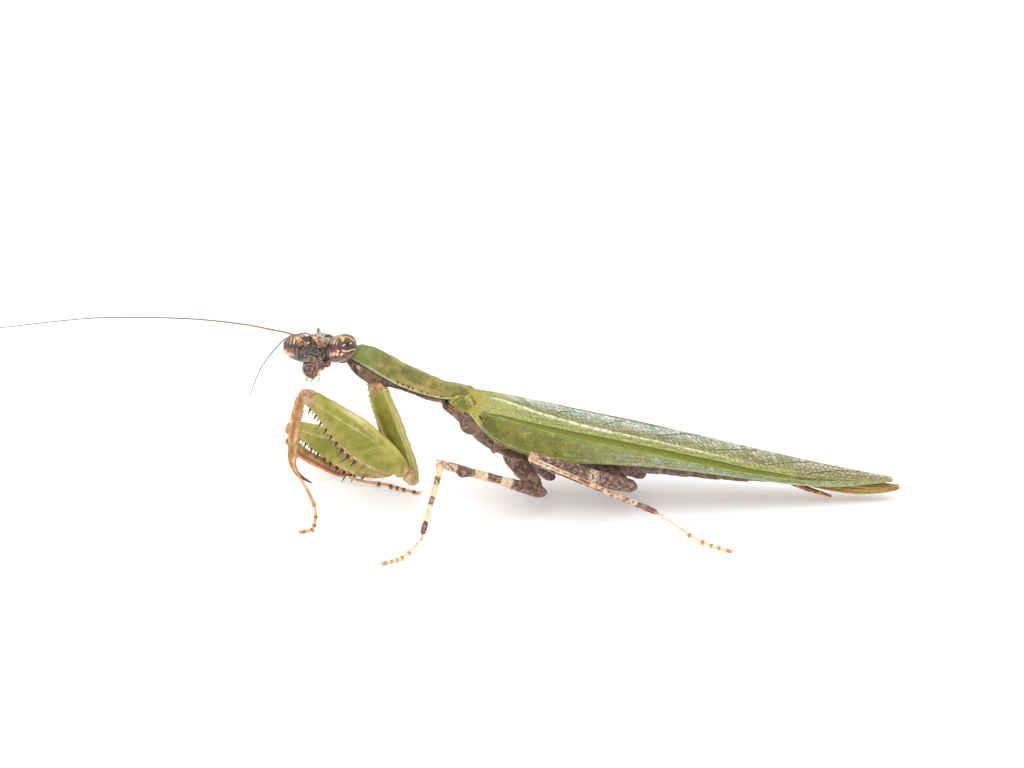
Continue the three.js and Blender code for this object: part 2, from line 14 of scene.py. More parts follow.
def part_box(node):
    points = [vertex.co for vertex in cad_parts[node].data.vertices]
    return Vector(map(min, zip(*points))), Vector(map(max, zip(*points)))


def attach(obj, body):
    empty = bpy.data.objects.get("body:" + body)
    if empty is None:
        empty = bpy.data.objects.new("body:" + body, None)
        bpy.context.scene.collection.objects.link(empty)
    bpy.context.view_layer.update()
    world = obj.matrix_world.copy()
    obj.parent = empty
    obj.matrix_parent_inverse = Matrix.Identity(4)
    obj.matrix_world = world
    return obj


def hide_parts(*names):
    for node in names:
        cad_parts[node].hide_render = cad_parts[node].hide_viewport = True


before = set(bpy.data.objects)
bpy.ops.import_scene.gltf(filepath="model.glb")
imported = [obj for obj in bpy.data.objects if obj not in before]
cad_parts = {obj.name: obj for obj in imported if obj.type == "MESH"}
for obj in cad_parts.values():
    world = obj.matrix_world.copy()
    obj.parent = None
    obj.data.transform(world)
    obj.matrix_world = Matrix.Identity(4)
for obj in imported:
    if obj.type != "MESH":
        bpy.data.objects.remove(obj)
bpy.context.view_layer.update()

# ---- dimensions shared with the solids ----

MM = 0.001
TINY = 1e-4
SIDES_OF_BODY = {"left": -1, "right": 1}

EYE_SPREAD = 2.54
OVAL_SIZE = np.array([1.8, 1.64, 1.28])     # the dressed eye: a long oval, its outer end raised
OVAL_PLACE = (2.41, 0.15, 0)
OVAL_TILT = 25
HEAD_PLACE = (-15.15, -1.0, 16.5)
HEAD_YAW = -30
HEAD_ROLL = -10
HEAD = (
    Matrix.Translation(HEAD_PLACE)
    @ Matrix.Rotation(math.radians(HEAD_YAW), 4, "Z")
    @ Matrix.Rotation(math.radians(HEAD_ROLL), 4, "Y")
)
WORKING_SIZE = 0.97       # legs lie this much inside their solids, so that relief stays in the same room

shield_margin = [
    # x, z of the margin, half width, crown, keel
    [-12.3, 15.75, 0.75, 0.8, 0.5],
    [-11.7, 15.3, 1.15, 1.45, 1.0],
    [-10.6, 14.7, 1.42, 1.72, 1.5],
    [-9.1, 13.8, 1.66, 1.86, 1.5],
    [-7.7, 12.95, 1.58, 1.86, 0.55],
    [-6.1, 12.15, 1.36, 1.86, 0.3],
    [-4.2, 11.5, 1.25, 1.7, 0.5],
    [-2.9, 11.25, 1.3, 1.4, 0.5],
    [-1.7, 11.3, 1.42, 1.15, 0.4],
    [-0.5, 11.5, 1.2, 0.65, 0.2],
]
neck_stations = [
    [-14.5, -0.55, 15.9, 0.7, 0.75],
    [-13.5, -0.25, 15.55, 0.72, 0.75],
    [-12.65, 0, 15.3, 0.75, 0.75],
]
thorax_stations = [
    [-2.6, 0, 10.35, 0.9, 0.3, 0.75],
    [-1.2, 0, 10.0, 1.5, 0.8, 1.4],
    [0.2, 0, 9.4, 1.8, 1.3, 1.9],
    [1.8, 0, 8.5, 2.2, 1.7, 2.5],
    [4.0, 0, 7.4, 2.4, 2.2, 2.7],
    [7.0, 0, 6.5, 2.45, 2.2, 2.4],
    [9.4, 0, 6.0, 2.35, 2.0, 2.1],
    [11.4, 0, 5.6, 2.25, 1.8, 1.7],
]
abdomen_stations = [
    [11.0, 0, 5.6, 2.1, 1.7, 1.6],
    [11.8, 0, 5.5, 2.2, 1.8, 1.7],
    [14.0, 0, 5.15, 2.5, 1.8, 1.85],
    [17.5, 0, 4.65, 2.5, 1.5, 1.55],
    [22.8, 0, 3.85, 2.1, 1.25, 1.3],
    [26.8, 0, 3.15, 1.6, 0.9, 1.0],
    [29.6, 0, 2.75, 1.15, 0.6, 0.7],
    [31.2, 0, 2.5, 0.6, 0.35, 0.4],
]
tegmen_rows = [
    # x, ridge z, shoulder y, z, edge y, z
    [-0.4, 11.95, 1.3, 11.1, 2.0, 10.2],
    [2, 11.55, 2.3, 10.15, 3.35, 7.8],
    [5, 10.95, 2.9, 9.45, 4.0, 6.5],
    [9, 9.95, 3.2, 8.55, 4.2, 5.65],
    [13, 9.05, 3.25, 7.7, 4.25, 5.4],
    [18, 7.85, 3.1, 6.75, 4.1, 5.05],
    [23, 6.85, 2.75, 5.4, 3.7, 4.3],
    [28, 5.6, 2.3, 4.0, 3.05, 3.35],
    [33, 4.4, 1.8, 3.0, 2.4, 2.45],
    [37, 3.5, 1.25, 2.6, 1.8, 2.05],
    [40.5, 2.75, 0.8, 2.35, 1.0, 2.05],
    [42.4, 2.3, 0.45, 2.2, 0.6, 2.15],
]
hindwing_rows = [
    [1.8, 10.5, 1.2, 10.0, 1.9, 9.3],
    [6, 9.85, 1.4, 9.2, 2.3, 8.3],
    [12, 8.35, 1.45, 7.9, 2.4, 7.0],
    [18, 6.85, 1.4, 6.45, 2.2, 5.8],
    [24, 5.55, 1.2, 5.0, 1.8, 4.3],
    [29, 4.2, 1.0, 3.5, 1.4, 2.9],
    [33, 3.2, 0.95, 2.5, 1.25, 2.1],
    [36, 2.55, 0.9, 2.0, 1.4, 1.45],
    [39, 2.0, 0.8, 1.65, 1.25, 1.0],
    [41.5, 1.65, 0.65, 1.45, 0.95, 1.05],
    [43.1, 1.45, 0.4, 1.35, 0.55, 1.2],
]
# From the end of each feeler's first segment outwards
antenna_right = [
    [-17.8, -1.75, 18.2], [-20.2, -2.6, 19.1], [-22.8, -2.6, 19.6], [-26.6, -2.6, 20.05],
    [-30.0, -2.5, 20.2], [-33.4, -2.4, 20.2], [-37.0, -2.2, 20.1], [-40.8, -2.0, 19.7],
    [-44.4, -1.8, 19.2], [-47.2, -1.6, 18.8],
]
antenna_left = [
    [-16.1, -3.0, 18.68], [-16.55, -3.9, 19.07], [-17.25, -5.0, 19.27], [-17.9, -6.4, 19.5],
    [-18.4, -7.8, 19.62], [-19.5, -12.0, 19.5], [-20.1, -15.5, 19.5], [-20.4, -19.5, 19.6],
    [-20.6, -23.5, 19.8],
]

# Half width and depth along each segment: share, half width, back, belly
fore_coxa_rows = [
    [0, 0.55, 0.6], [0.08, 0.85, 0.95], [0.3, 0.95, 1.15], [0.6, 0.85, 1.1], [0.88, 0.7, 0.95],
    [1, 0.5, 0.6],
]
fore_femur_rows = [
    [0, 0.5, 0.45, 0.6], [0.08, 0.7, 1.0, 1.45], [0.2, 0.85, 1.4, 2.05], [0.38, 0.9, 1.65, 2.4],
    [0.52, 0.8, 1.75, 2.1], [0.72, 0.65, 1.45, 1.35], [0.88, 0.6, 1.15, 0.75],
    [0.96, 0.62, 1.0, 0.85], [1, 0.45, 0.7, 0.6],
]
coxa_rows = [[0, 0.9, 0.9], [0.35, 1.0, 1.0], [0.75, 0.85, 0.85], [1, 0.5, 0.5]]
femur_rows = [
    [0, 0.4, 0.4], [0.05, 0.62, 0.65], [0.2, 0.58, 0.62], [0.4, 0.42, 0.46], [0.7, 0.4, 0.42],
    [0.79, 0.4, 0.42, 0.8], [0.86, 0.4, 0.42], [0.97, 0.42, 0.45], [1, 0.28, 0.3],
]
tibia_rows = [
    [0, 0.3, 0.3], [0.04, 0.4, 0.4], [0.2, 0.32, 0.32], [0.8, 0.27, 0.27], [0.96, 0.34, 0.34],
    [1, 0.25, 0.25],
]
FOOT_HEIGHT = 0.16
fore_legs = {
    "left": {
        "hip": [-9.6, -2.0, 12.95], "trochanter": [-5.85, -3.0, 3.0],
        "hinge": [-6.6, -3.9, 4.6], "knee": [-16.7, -5.0, 13.1], "plane": [0, -1, 0],
        "shin": [[-16.9, -5.05, 12.5], [-17.3, -5.2, 11.0], [-17.65, -5.6, 8.8], [-17.75, -5.9, 7.0]],
        "hook": [[-17.75, -6.0, 6.1], [-17.2, -6.1, 5.0], [-15.9, -6.2, 4.15]],
        "tarsus": [[-17.6, -6.7, 6.0], [-16.7, -7.2, 4.6], [-15.75, -7.8, 2.9], [-15.45, -8.2, 2.1],
                   [-15.5, -8.7, 0.95], [-15.8, -8.95, 0.3], [-16.8, -9.3, FOOT_HEIGHT]],
    },
    "right": {
        "hip": [-9.85, 1.9, 12.6], "trochanter": [-7.2, 2.3, 1.9],
        "hinge": [-7.5, 3.0, 2.2], "knee": [-18.9, 8.4, 4.45], "plane": [-0.34, -0.82, 0.45],
        "shin": [[-18.9, 8.4, 3.15], [-17.5, 7.5, 2.0], [-15.4, 6.2, 1.3], [-13.6, 5.0, 0.95]],
        "hook": [[-12.7, 4.4, 1.1], [-11.8, 4.1, 1.25], [-11.0, 4.0, 1.7]],
        "tarsus": [[-12.6, 3.7, 0.85], [-11.2, 3.3, 0.6], [-9.6, 3.1, 0.45], [-8.2, 2.6, 0.35],
                   [-7.2, 2.0, 0.28], [-5.6, 1.2, FOOT_HEIGHT]],
    },
}
walking_legs = {
    "midleg_left": {
        "hip": [3.8, -2.3, 5.7], "trochanter": [6.6, -3.5, 2.75], "hinge": [7.2, -4.1, 2.25],
        "knee": [-3.0, -8.5, 7.05], "shin": [-3.0, -8.8, 6.85], "ankle": [-4.7, -14.1, 2.0],
        "tarsus": [[-4.8, -14.4, 1.7], [-5.4, -15.2, 1.1], [-6.1, -15.9, 0.6], [-7.0, -16.6, 0.28],
                   [-8.4, -17.4, FOOT_HEIGHT]],
        "stout": 1,
    },
    "midleg_right": {
        "hip": [4.4, 1.9, 5.5], "trochanter": [7.6, 2.1, 1.9], "hinge": [8.1, 2.3, 1.4],
        "knee": [0.5, 10.5, 5.0], "shin": [0.4, 10.8, 4.8], "ankle": [1.7, 16.7, 1.6],
        "tarsus": [[1.75, 17.0, 1.35], [2.0, 17.9, 0.9], [2.2, 18.7, 0.5], [2.4, 19.4, 0.28],
                   [2.7, 20.6, FOOT_HEIGHT]],
        "stout": 1,
    },
    "hindleg_left": {
        "hip": [11.3, -2.1, 4.8], "trochanter": [15.3, -3.3, 3.1], "hinge": [16.2, -3.8, 2.75],
        "knee": [6.3, -8.5, 7.8], "shin": [6.0, -9.0, 7.6], "ankle": [18.2, -9.1, 2.2],
        "tarsus": [[18.5, -9.3, 2.0], [20.0, -10.4, 1.4], [21.6, -11.7, 0.7], [23.3, -12.9, 0.28],
                   [25.3, -14.3, FOOT_HEIGHT]],
        "stout": 1.12,
    },
    "hindleg_right": {
        "hip": [12.2, 1.7, 4.4], "trochanter": [16.4, 2.2, 1.95], "hinge": [17.3, 2.5, 1.6],
        "knee": [7.5, 8.6, 5.6], "shin": [7.3, 9.1, 5.5], "ankle": [18.6, 13.2, 1.6],
        "tarsus": [[18.9, 13.3, 1.4], [20.6, 13.7, 0.9], [22.3, 14.1, 0.5], [23.8, 14.5, 0.28],
                   [25.6, 14.9, FOOT_HEIGHT]],
        "stout": 1.12,
    },
}

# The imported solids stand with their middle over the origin, so the near eye's box says how far
# the mantis's own frame was moved
ORIGIN = np.array((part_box("eye_left")[0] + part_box("eye_left")[1]) / 2 / MM)
ORIGIN -= np.array(HEAD @ Vector((EYE_SPREAD, 0, 0)))

# ---- smooth lines, limbs and wing sheets ----


def spline_span(before, start, end, after):
    """The four coefficients of one span of a centripetal Catmull-Rom curve."""
    def gap(a, b):
        return np.sqrt(np.linalg.norm(b - a, axis=-1, keepdims=True))

    middle = gap(start, end)
    middle = np.where(middle < TINY, 1.0, middle)
    first = gap(before, start)
    first = np.where(first < TINY, middle, first)
    last = gap(end, after)
    last = np.where(last < TINY, middle, last)
    leave = (start - before) / first - (end - before) / (first + middle) + (end - start) / middle
    arrive = (end - start) / middle - (after - start) / (middle + last) + (after - end) / last
    leave, arrive = leave * middle, arrive * middle
    bend = -3 * start + 3 * end - 2 * leave - arrive
    twist = 2 * start - 2 * end + leave + arrive
    return start, leave, bend, twist


def on_span(span, share):
    start, leave, bend, twist = span
    return start + share * (leave + share * (bend + share * twist))


class Line:
    """A smooth curve through its points, for t from 0 to 1, one span to each share of t."""

    def __init__(self, points):
        points = np.array(points, float)
        padded = np.vstack([2 * points[0] - points[1], points, 2 * points[-1] - points[-2]])
        self.spans = len(points) - 1
        self.span = spline_span(padded[:-3], padded[1:-2], padded[2:-1], padded[3:])

    def at(self, t):
        place = np.clip(np.asarray(t, float), 0, 1) * self.spans
        number = np.minimum(place.astype(int), self.spans - 1)
        return on_span([part[number] for part in self.span], (place - number)[..., None])

    def heading(self, t):
        t = np.asarray(t, float)
        way = self.at(t + TINY) - self.at(t - TINY)
        return unit(way)


def unit(vectors):
    return vectors / np.linalg.norm(vectors, axis=-1, keepdims=True)


class Limb:
    """A length of body, leg or feeler round a smooth line. A station is [x, y, z, half width,
    up, down], where down is the same as up if it isn't given. Width runs along the wide axis.
    A share of its length is 0 at the first station and 1 at the last."""

    def __init__(self, stations, wide_axis=(0, 1, 0)):
        full = [list(row) + [row[-1]] * (6 - len(row)) for row in stations]
        self.line = Line([row[:3] for row in full])
        self.sizes = Line([row[3:] for row in full])
        self.wide_axis = np.array(wide_axis, float)
        self.samples = np.linspace(0, 1, 60 * self.line.spans + 1)
        steps = np.linalg.norm(np.diff(self.line.at(self.samples), axis=0), axis=1)
        self.walked = np.concatenate([[0], np.cumsum(steps)]) / steps.sum()

    def parameter(self, share):
        return np.interp(share, self.walked, self.samples)

    def centre(self, share):
        return self.line.at(self.parameter(share))

    def axes(self, share):
        along = self.line.heading(self.parameter(share))
        lean = np.sum(along * self.wide_axis, axis=-1, keepdims=True)
        side = unit(self.wide_axis - along * lean)
        return along, side, np.cross(along, side)

    def surface(self, share, turn, lift=0.0):
        """Places on the skin, at a share of the length and a share of a turn that starts at
        the side away from the wide axis and passes over the up side."""
        _, side, up = self.axes(share)
        size = self.sizes.at(self.parameter(share))
        angle = 2 * math.pi * np.asarray(turn, float)
        wide = size[..., 0] + lift
        high = np.where(np.sin(angle) > 0, size[..., 1], size[..., 2]) + lift
        place = self.centre(share) - (np.cos(angle) * wide)[..., None] * side
        return place + (np.sin(angle) * high)[..., None] * up


class Sheet:
    """A wing hung on its free edge, its shoulder and its ridge. A row is [x, ridge z, shoulder
    y, z, edge y, z]. s runs from root to tip and q from the free edge, 0, to the ridge, 1."""

    def __init__(self, rows, side):
        self.side = side
        self.ridge = Line([[x, 0.0, z] for x, z, *_ in rows])
        self.shoulder = Line([[x, side * y, z] for x, _, y, z, *_ in rows])
        self.edge = Line([[x, side * y, z] for x, _, _, _, y, z in rows])

    def surface(self, s, q):
        edge, shoulder, ridge = self.edge.at(s), self.shoulder.at(s), self.ridge.at(s)
        low = spline_span(2 * edge - shoulder, edge, shoulder, ridge)
        high = spline_span(edge, shoulder, ridge, 2 * ridge - shoulder)
        place = (np.clip(np.asarray(q, float), 0, 1) * 2)[..., None]
        return np.where(place < 1, on_span(low, place), on_span(high, place - 1))

    def outward(self, s, q):
        """The direction away from the body at a place on the sheet."""
        step = 1e-3
        along = self.surface(np.minimum(s + step, 1), q) - self.surface(np.maximum(s - step, 0), q)
        upward = self.surface(s, np.minimum(q + step, 1)) - self.surface(s, np.maximum(q - step, 0))
        return -self.side * unit(np.cross(along, upward))


def ease(value, low, high):
    """0 below low, 1 above high and a smooth rise between them."""
    share = np.clip((np.asarray(value, float) - low) / (high - low), 0, 1)
    return share * share * (3 - 2 * share)


def crest(value, middle, half_width):
    """1 at the middle, falling smoothly to 0 at the half width on either side."""
    return 1 - ease(np.abs(np.asarray(value, float) - middle), 0, half_width)


def most(*values):
    """The largest of several masks at each place."""
    return np.maximum.reduce(values)


def between(start, end, rows, size=1.0):
    """Stations on a straight stretch. A row is [share of the way, half width, up, down]."""
    start, end = np.array(start, float), np.array(end, float)
    return [[*(start + (end - start) * row[0]), *(size * half for half in row[1:])] for row in rows]


def shrunk(rows, size=WORKING_SIZE):
    return [[share, *(size * half for half in sizes)] for share, *sizes in rows]


def band(value, low, high, soft=0.02):
    """1 between low and high, with soft ends."""
    return ease(value, low - soft, low + soft) - ease(value, high - soft, high + soft)


def search_tree(spots):
    """A tree that finds the nearest of some flat places."""
    tree = kdtree.KDTree(len(spots))
    for number, spot in enumerate(spots):
        tree.insert((*spot, 0), number)
    tree.balance()
    return tree


def ripples(t, turn, along, around_it, seed=0.0):
    """A gentle unevenness between about -1 and 1 that closes round a limb."""
    angle = 2 * math.pi * turn
    first = np.sin(along * t + 1.7 * np.sin(angle + seed) + seed)
    second = np.sin(0.61 * along * t + around_it * angle + 2.3 * seed)
    third = np.sin(1.9 * along * t - (around_it + 1) * angle + 0.7 * seed)
    return (first + second + third) / 2.2


# ---- shapes: points, faces and named values on the points ----


class Shape:
    def __init__(self, points, faces, **marks):
        self.points = np.asarray(points, float)
        self.faces = list(faces)
        self.marks = {name: np.broadcast_to(np.asarray(value, float), len(self.points)).copy() for name,
            value in marks.items()}

    def moved(self, matrix):
        turn, place = np.array(matrix.to_3x3()), np.array(matrix.translation)
        return Shape(self.points @ turn.T + place, self.faces, **self.marks)

    def near(self, *spots):
        """1 inside a spot and 0 outside, with a soft edge. A spot is (place, radius)."""
        mask = np.zeros(len(self.points))
        for place, radius in spots:
            reach = np.linalg.norm(self.points - np.array(place, float), axis=1) / radius
            mask = np.maximum(mask, 1 - ease(reach, 0.6, 1.1))
        return mask

    def raise_by(self, height):
        """Pushes the points of one_skin's shape out by a height each."""
        self.points = self.points + self.normals * height[:, None]


def joined(*shapes):
    """One shape of several closed ones. A mark that one of them lacks is 0 on it."""
    names = sorted({name for shape in shapes for name in shape.marks})
    starts = np.cumsum([0] + [len(shape.points) for shape in shapes])
    faces = [tuple(start + corner for corner in face) for start,
        shape in zip(starts.tolist(), shapes) for face in shape.faces]
    marks = {name: np.concatenate([shape.marks.get(name, np.zeros(len(shape.points))) for shape in shapes])
        for name in names}
    return Shape(np.vstack([shape.points for shape in shapes]), faces, **marks)


def closed_rings(rings, first_cap, last_cap, **marks):
    """A closed shape from rows x sides points and one point beyond each end."""
    rows, sides = rings.shape[:2]
    number = np.arange(rows * sides).reshape(rows, sides)
    after = np.roll(number, -1, axis=1)
    walls = np.stack([number[:-1], number[1:], after[1:], after[:-1]], axis=-1).reshape(-1, 4)
    first, last = rows * sides, rows * sides + 1
    faces = [tuple(face) for face in walls.tolist()]
    faces += [(first, a, b) for a, b in zip(number[0].tolist(), after[0].tolist())]
    faces += [(last, b, a) for a, b in zip(number[-1].tolist(), after[-1].tolist())]
    full = {}
    for name, value in marks.items():
        value = np.broadcast_to(np.asarray(value, float), (rows, sides))
        full[name] = np.concatenate([value.ravel(), [value[0].mean(), value[-1].mean()]])
    return Shape(np.vstack([rings.reshape(-1, 3), first_cap, last_cap]), faces, **full)


DOME = np.array([0.25, 0.6, 0.87])      # how wide each ring of a rounded end is, from its pole


def limb_skin(limb, sides, rings, relief=None, dome=0.6, marks=None):
    """The skin of a limb with rounded ends. relief(t, turn) is a height over the limb in mm, and
    marks(t, turn) gives its marks by name."""
    t, turn = np.meshgrid(np.linspace(0, 1, rings), np.arange(sides) / sides, indexing="ij")
    body = limb.surface(t, turn, relief(t, turn) if relief else 0.0)

    def rounded_end(share, rim, outward):
        centre = limb.centre(share)
        reach = outward * limb.line.heading(share) * dome * limb.sizes.at(share).mean()
        height = np.sqrt(1 - DOME * DOME)
        return (centre + DOME[:, None, None] * (rim - centre) + height[:, None, None] * reach,
            centre + reach)

    start, first_cap = rounded_end(0.0, body[0], -1)
    end, last_cap = rounded_end(1.0, body[-1], 1)
    t = np.vstack([np.zeros((len(DOME), sides)), t, np.ones((len(DOME), sides))])
    turn = np.vstack([turn[:len(DOME)], turn, turn[:len(DOME)]])
    values = marks(t, turn) if marks else {}
    return closed_rings(np.vstack([start, body, end[::-1]]), first_cap, last_cap, **values)


def ball(size, place=(0, 0, 0), rings=24, sides=32, pole=(0, 0, 1), reach=1.0, **marks):
    """An ellipsoid of three half sizes, whose grid runs along the pole axis. With a reach under
    1 it stops that far along and has a flat end."""
    angle = np.linspace(0, math.pi * reach, rings + 2)[1:-1, None]
    turn = 2 * math.pi * np.arange(sides)[None, :] / sides
    grid = np.stack([np.sin(angle) * np.cos(turn), np.sin(angle) * np.sin(turn), -np.cos(angle) + 0 * turn],
        axis=-1)
    lean = np.array(Vector((0, 0, 1)).rotation_difference(Vector(pole)).to_matrix())
    size, place = np.array(size, float), np.array(place, float)
    far_end = 1.0 if reach == 1 else -math.cos(angle[-1, 0])
    caps = [lean @ (0, 0, -1) * size + place, lean @ (0, 0, far_end) * size + place]
    flipped = (grid @ lean.T * size + place)[:, ::-1]
    return closed_rings(flipped, *caps, **marks)


def sheet_skin(outer, inner, flip, **marks):
    """A thin closed sheet from two grids of rows x columns points."""
    rows, columns = outer.shape[:2]
    top = np.arange(rows * columns).reshape(rows, columns)
    low = top + rows * columns
    faces = [np.stack([top[:-1, :-1], top[1:, :-1], top[1:, 1:], top[:-1, 1:]], -1),
        np.stack([low[:-1, :-1], low[:-1, 1:], low[1:, 1:], low[1:, :-1]], -1)]
    rim = np.concatenate([top[:-1, 0], top[-1, :-1], top[:0:-1, -1], top[0, :0:-1]])
    after = np.roll(rim, -1)
    under = rim + rows * columns
    faces.append(np.stack([rim, under, np.roll(under, -1), after], -1))
    faces = np.vstack([block.reshape(-1, 4) for block in faces])
    if flip:
        faces = faces[:, ::-1]
    doubled = {name: np.tile(np.asarray(value, float).ravel(), 2) for name, value in marks.items()}
    points = np.vstack([outer.reshape(-1, 3), inner.reshape(-1, 3)])
    return Shape(points, map(tuple, faces.tolist()), **doubled)


def claw(points, radii, sides=10, rings=18, relief=None, marks=None):
    """A tapering spine, claw or palp along a smooth line."""
    stations = [[*point, radius, radius] for point, radius in zip(points, radii)]
    way = np.array(points[-1], float) - np.array(points[0], float)
    limb = Limb(stations, unit(np.cross(way, (0.31, 0.17, 0.93))))
    return limb_skin(limb, sides, rings, relief, marks=marks)


# ---- pieces ----


def plain_object(name, points, edges, faces, marks):
    """An object with a mesh of its own and named values on its points."""
    mesh = bpy.data.meshes.new(name)
    mesh.from_pydata(points.tolist(), edges, faces)
    for mark, value in marks.items():
        value = np.broadcast_to(np.asarray(value, float), len(points)).copy()
        mesh.attributes.new(mark, "FLOAT", "POINT").data.foreach_set("value", value)
    piece = bpy.data.objects.new(name, mesh)
    bpy.context.collection.objects.link(piece)
    return piece


def mesh_object(name, shape, unit_size=MM, origin=ORIGIN):
    piece = plain_object(name, (shape.points + origin) * unit_size, [], shape.faces, shape.marks)
    piece.data.polygons.foreach_set("use_smooth", [True] * len(shape.faces))
    return piece


def flattened(piece):
    """Turns a piece's modifiers into its plain mesh."""
    bpy.context.view_layer.update()
    seen = piece.evaluated_get(bpy.context.evaluated_depsgraph_get())
    mesh = bpy.data.meshes.new_from_object(seen)
    piece.modifiers.clear()
    old, piece.data = piece.data, mesh
    bpy.data.meshes.remove(old)
    mesh.name = piece.name
    return piece


def finished(piece, slot, *nodes):
    """Rides a piece on the mantis and hides the solids that it stands for. The slot is not used."""
    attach(piece, "root")
    if nodes:
        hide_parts(*nodes)
    return piece


def piece_of(name, shape, material, slot, *nodes):
    piece = mesh_object(name, shape)
    piece.data.materials.append(material)
    return finished(piece, slot, *nodes)


def one_skin(shapes, voxel, rounds=6, strength=0.5):
    """The smooth union of closed overlapping shapes, as one shape without marks."""
    lump = mesh_object("lump", joined(*shapes), unit_size=1.0, origin=0.0)
    remesh = lump.modifiers.new("union", "REMESH")
    remesh.mode = "VOXEL"
    remesh.voxel_size = voxel
    remesh.use_smooth_shade = True
    smooth = lump.modifiers.new("smooth", "SMOOTH")
    smooth.factor = strength
    smooth.iterations = rounds
    flattened(lump)
    mesh = lump.data
    points = np.zeros(len(mesh.vertices) * 3)
    mesh.vertices.foreach_get("co", points)
    normals = np.zeros(len(mesh.vertices) * 3)
    mesh.vertices.foreach_get("normal", normals)
    skin = Shape(points.reshape(-1, 3), [tuple(face.vertices) for face in mesh.polygons])
    skin.normals = normals.reshape(-1, 3)
    bpy.data.objects.remove(lump)
    bpy.data.meshes.remove(mesh)
    return skin


# ---- node trees ----


class Nodes:
    """Plain calls that add nodes to a tree. All but add give what the new node puts out."""

    def __init__(self, tree):
        self.tree = tree

    def add(self, kind, inputs=None, **settings):
        node = self.tree.nodes.new(kind)
        for key, value in settings.items():
            setattr(node, key, value)
        for key, value in (inputs or {}).items():
            self.feed(node.inputs[key], value)
        return node

    def put(self, kind, inputs=None, **settings):
        """Adds a node and gives its first output."""
        return self.add(kind, inputs, **settings).outputs[0]

    def feed(self, socket, value):
        """Gives a socket another node's socket, a mark by its name, or a plain value."""
        if isinstance(value, str) and socket.type == "VALUE":
            value = self.mark(value)
        if isinstance(value, bpy.types.NodeSocket):
            self.tree.links.new(value, socket)
        elif socket.type == "RGBA" and len(value) == 3:
            socket.default_value = (*value, 1)
        else:
            socket.default_value = value

    def math(self, operation, *values):
        return self.put("ShaderNodeMath", dict(enumerate(values)), operation=operation)

    def times(self, first, second):
        return self.math("MULTIPLY", first, second)

    def vector_math(self, operation, inputs):
        return self.put("ShaderNodeVectorMath", inputs, operation=operation)

    def mark(self, name):
        return self.add("ShaderNodeAttribute", attribute_name=name).outputs["Fac"]

    def place(self):
        """Object coordinates in millimetres."""
        here = self.add("ShaderNodeTexCoord").outputs["Object"]
        return self.vector_math("SCALE", {0: here, "Scale": 1 / MM})

    def noise(self, place, scale, detail=3.0, roughness=0.55, distortion=0.0):
        return self.add("ShaderNodeTexNoise",
            {"Vector": place, "Scale": scale, "Detail": detail, "Roughness": roughness,
                "Distortion": distortion}).outputs["Fac"]

    def cells(self, place, scale, output="Distance"):
        return self.add("ShaderNodeTexVoronoi", {"Vector": place, "Scale": scale}).outputs[output]

    def step(self, value, low, high, out_low=0.0, out_high=1.0):
        """A smooth rise from one value to another as the input goes from low to high."""
        return self.put("ShaderNodeMapRange", {0: value, 1: low, 2: high, 3: out_low, 4: out_high},
            interpolation_type="SMOOTHSTEP")

    def mix(self, share, first, second, blend="MIX"):
        return self.add("ShaderNodeMix", {0: share, 6: first, 7: second}, data_type="RGBA",
            blend_type=blend).outputs[2]

    def ramp(self, value, *stops):
        """A colour ramp. A stop is (position, colour), and they stand in order."""
        node = self.add("ShaderNodeValToRGB", {0: value})
        elements = node.color_ramp.elements
        elements[0].position, elements[1].position = stops[0][0], stops[-1][0]
        for position, _ in stops[1:-1]:
            elements.new(position)
        for element, (_, colour) in zip(elements, stops):
            element.color = (*colour, 1)
        return node.outputs[0]

    def group(self, tree, **inputs):
        node = self.add("ShaderNodeGroup", node_tree=tree)
        for name, value in inputs.items():
            self.feed(node.inputs[name.replace("_", " ")], value)
        return node.outputs


FLOAT, GEOMETRY = "NodeSocketFloat", "NodeSocketGeometry"


def new_group(name, kind, inputs, outputs):
    """An empty node group with named sockets, its Nodes and its Group Input's outputs."""
    tree = bpy.data.node_groups.new(name, kind)
    for label, socket, value in inputs:
        item = tree.interface.new_socket(label, in_out="INPUT", socket_type=socket)
        if value is not None:
            item.default_value = value
    for label, socket in outputs:
        tree.interface.new_socket(label, in_out="OUTPUT", socket_type=socket)
    nodes = Nodes(tree)
    given = nodes.add("NodeGroupInput").outputs
    result = nodes.add("NodeGroupOutput").inputs
    return tree, nodes, given, result


def growing_group(name, source, sides, **sizes):
    """A geometry tree that is given points or lines, its sides, sizes and finish."""
    inputs = [(source, GEOMETRY, None), ("Sides", "NodeSocketInt", sides),
        ("Finish", "NodeSocketMaterial", None)]
    inputs += [(label, FLOAT, value) for label, value in sizes.items()]
    return new_group(name, "GeometryNodeTree", inputs, [("Geometry", GEOMETRY)])


def told(nodes, name, kind="FLOAT"):
    return nodes.put("GeometryNodeInputNamedAttribute", {"Name": name}, data_type=kind)


def place_and_height(nodes):
    here = nodes.put("GeometryNodeInputPosition")
    return here, nodes.add("ShaderNodeSeparateXYZ", {0: here}).outputs["Z"]


def painted(nodes, given, result, geometry):
    """Puts out the geometry, realised, smooth and with the finish that the tree was given."""
    real = nodes.put("GeometryNodeRealizeInstances", {0: geometry})
    smooth = nodes.put("GeometryNodeSetShadeSmooth", {0: real})
    nodes.feed(result["Geometry"],
        nodes.put("GeometryNodeSetMaterial", {"Geometry": smooth, "Material": given["Finish"]}))


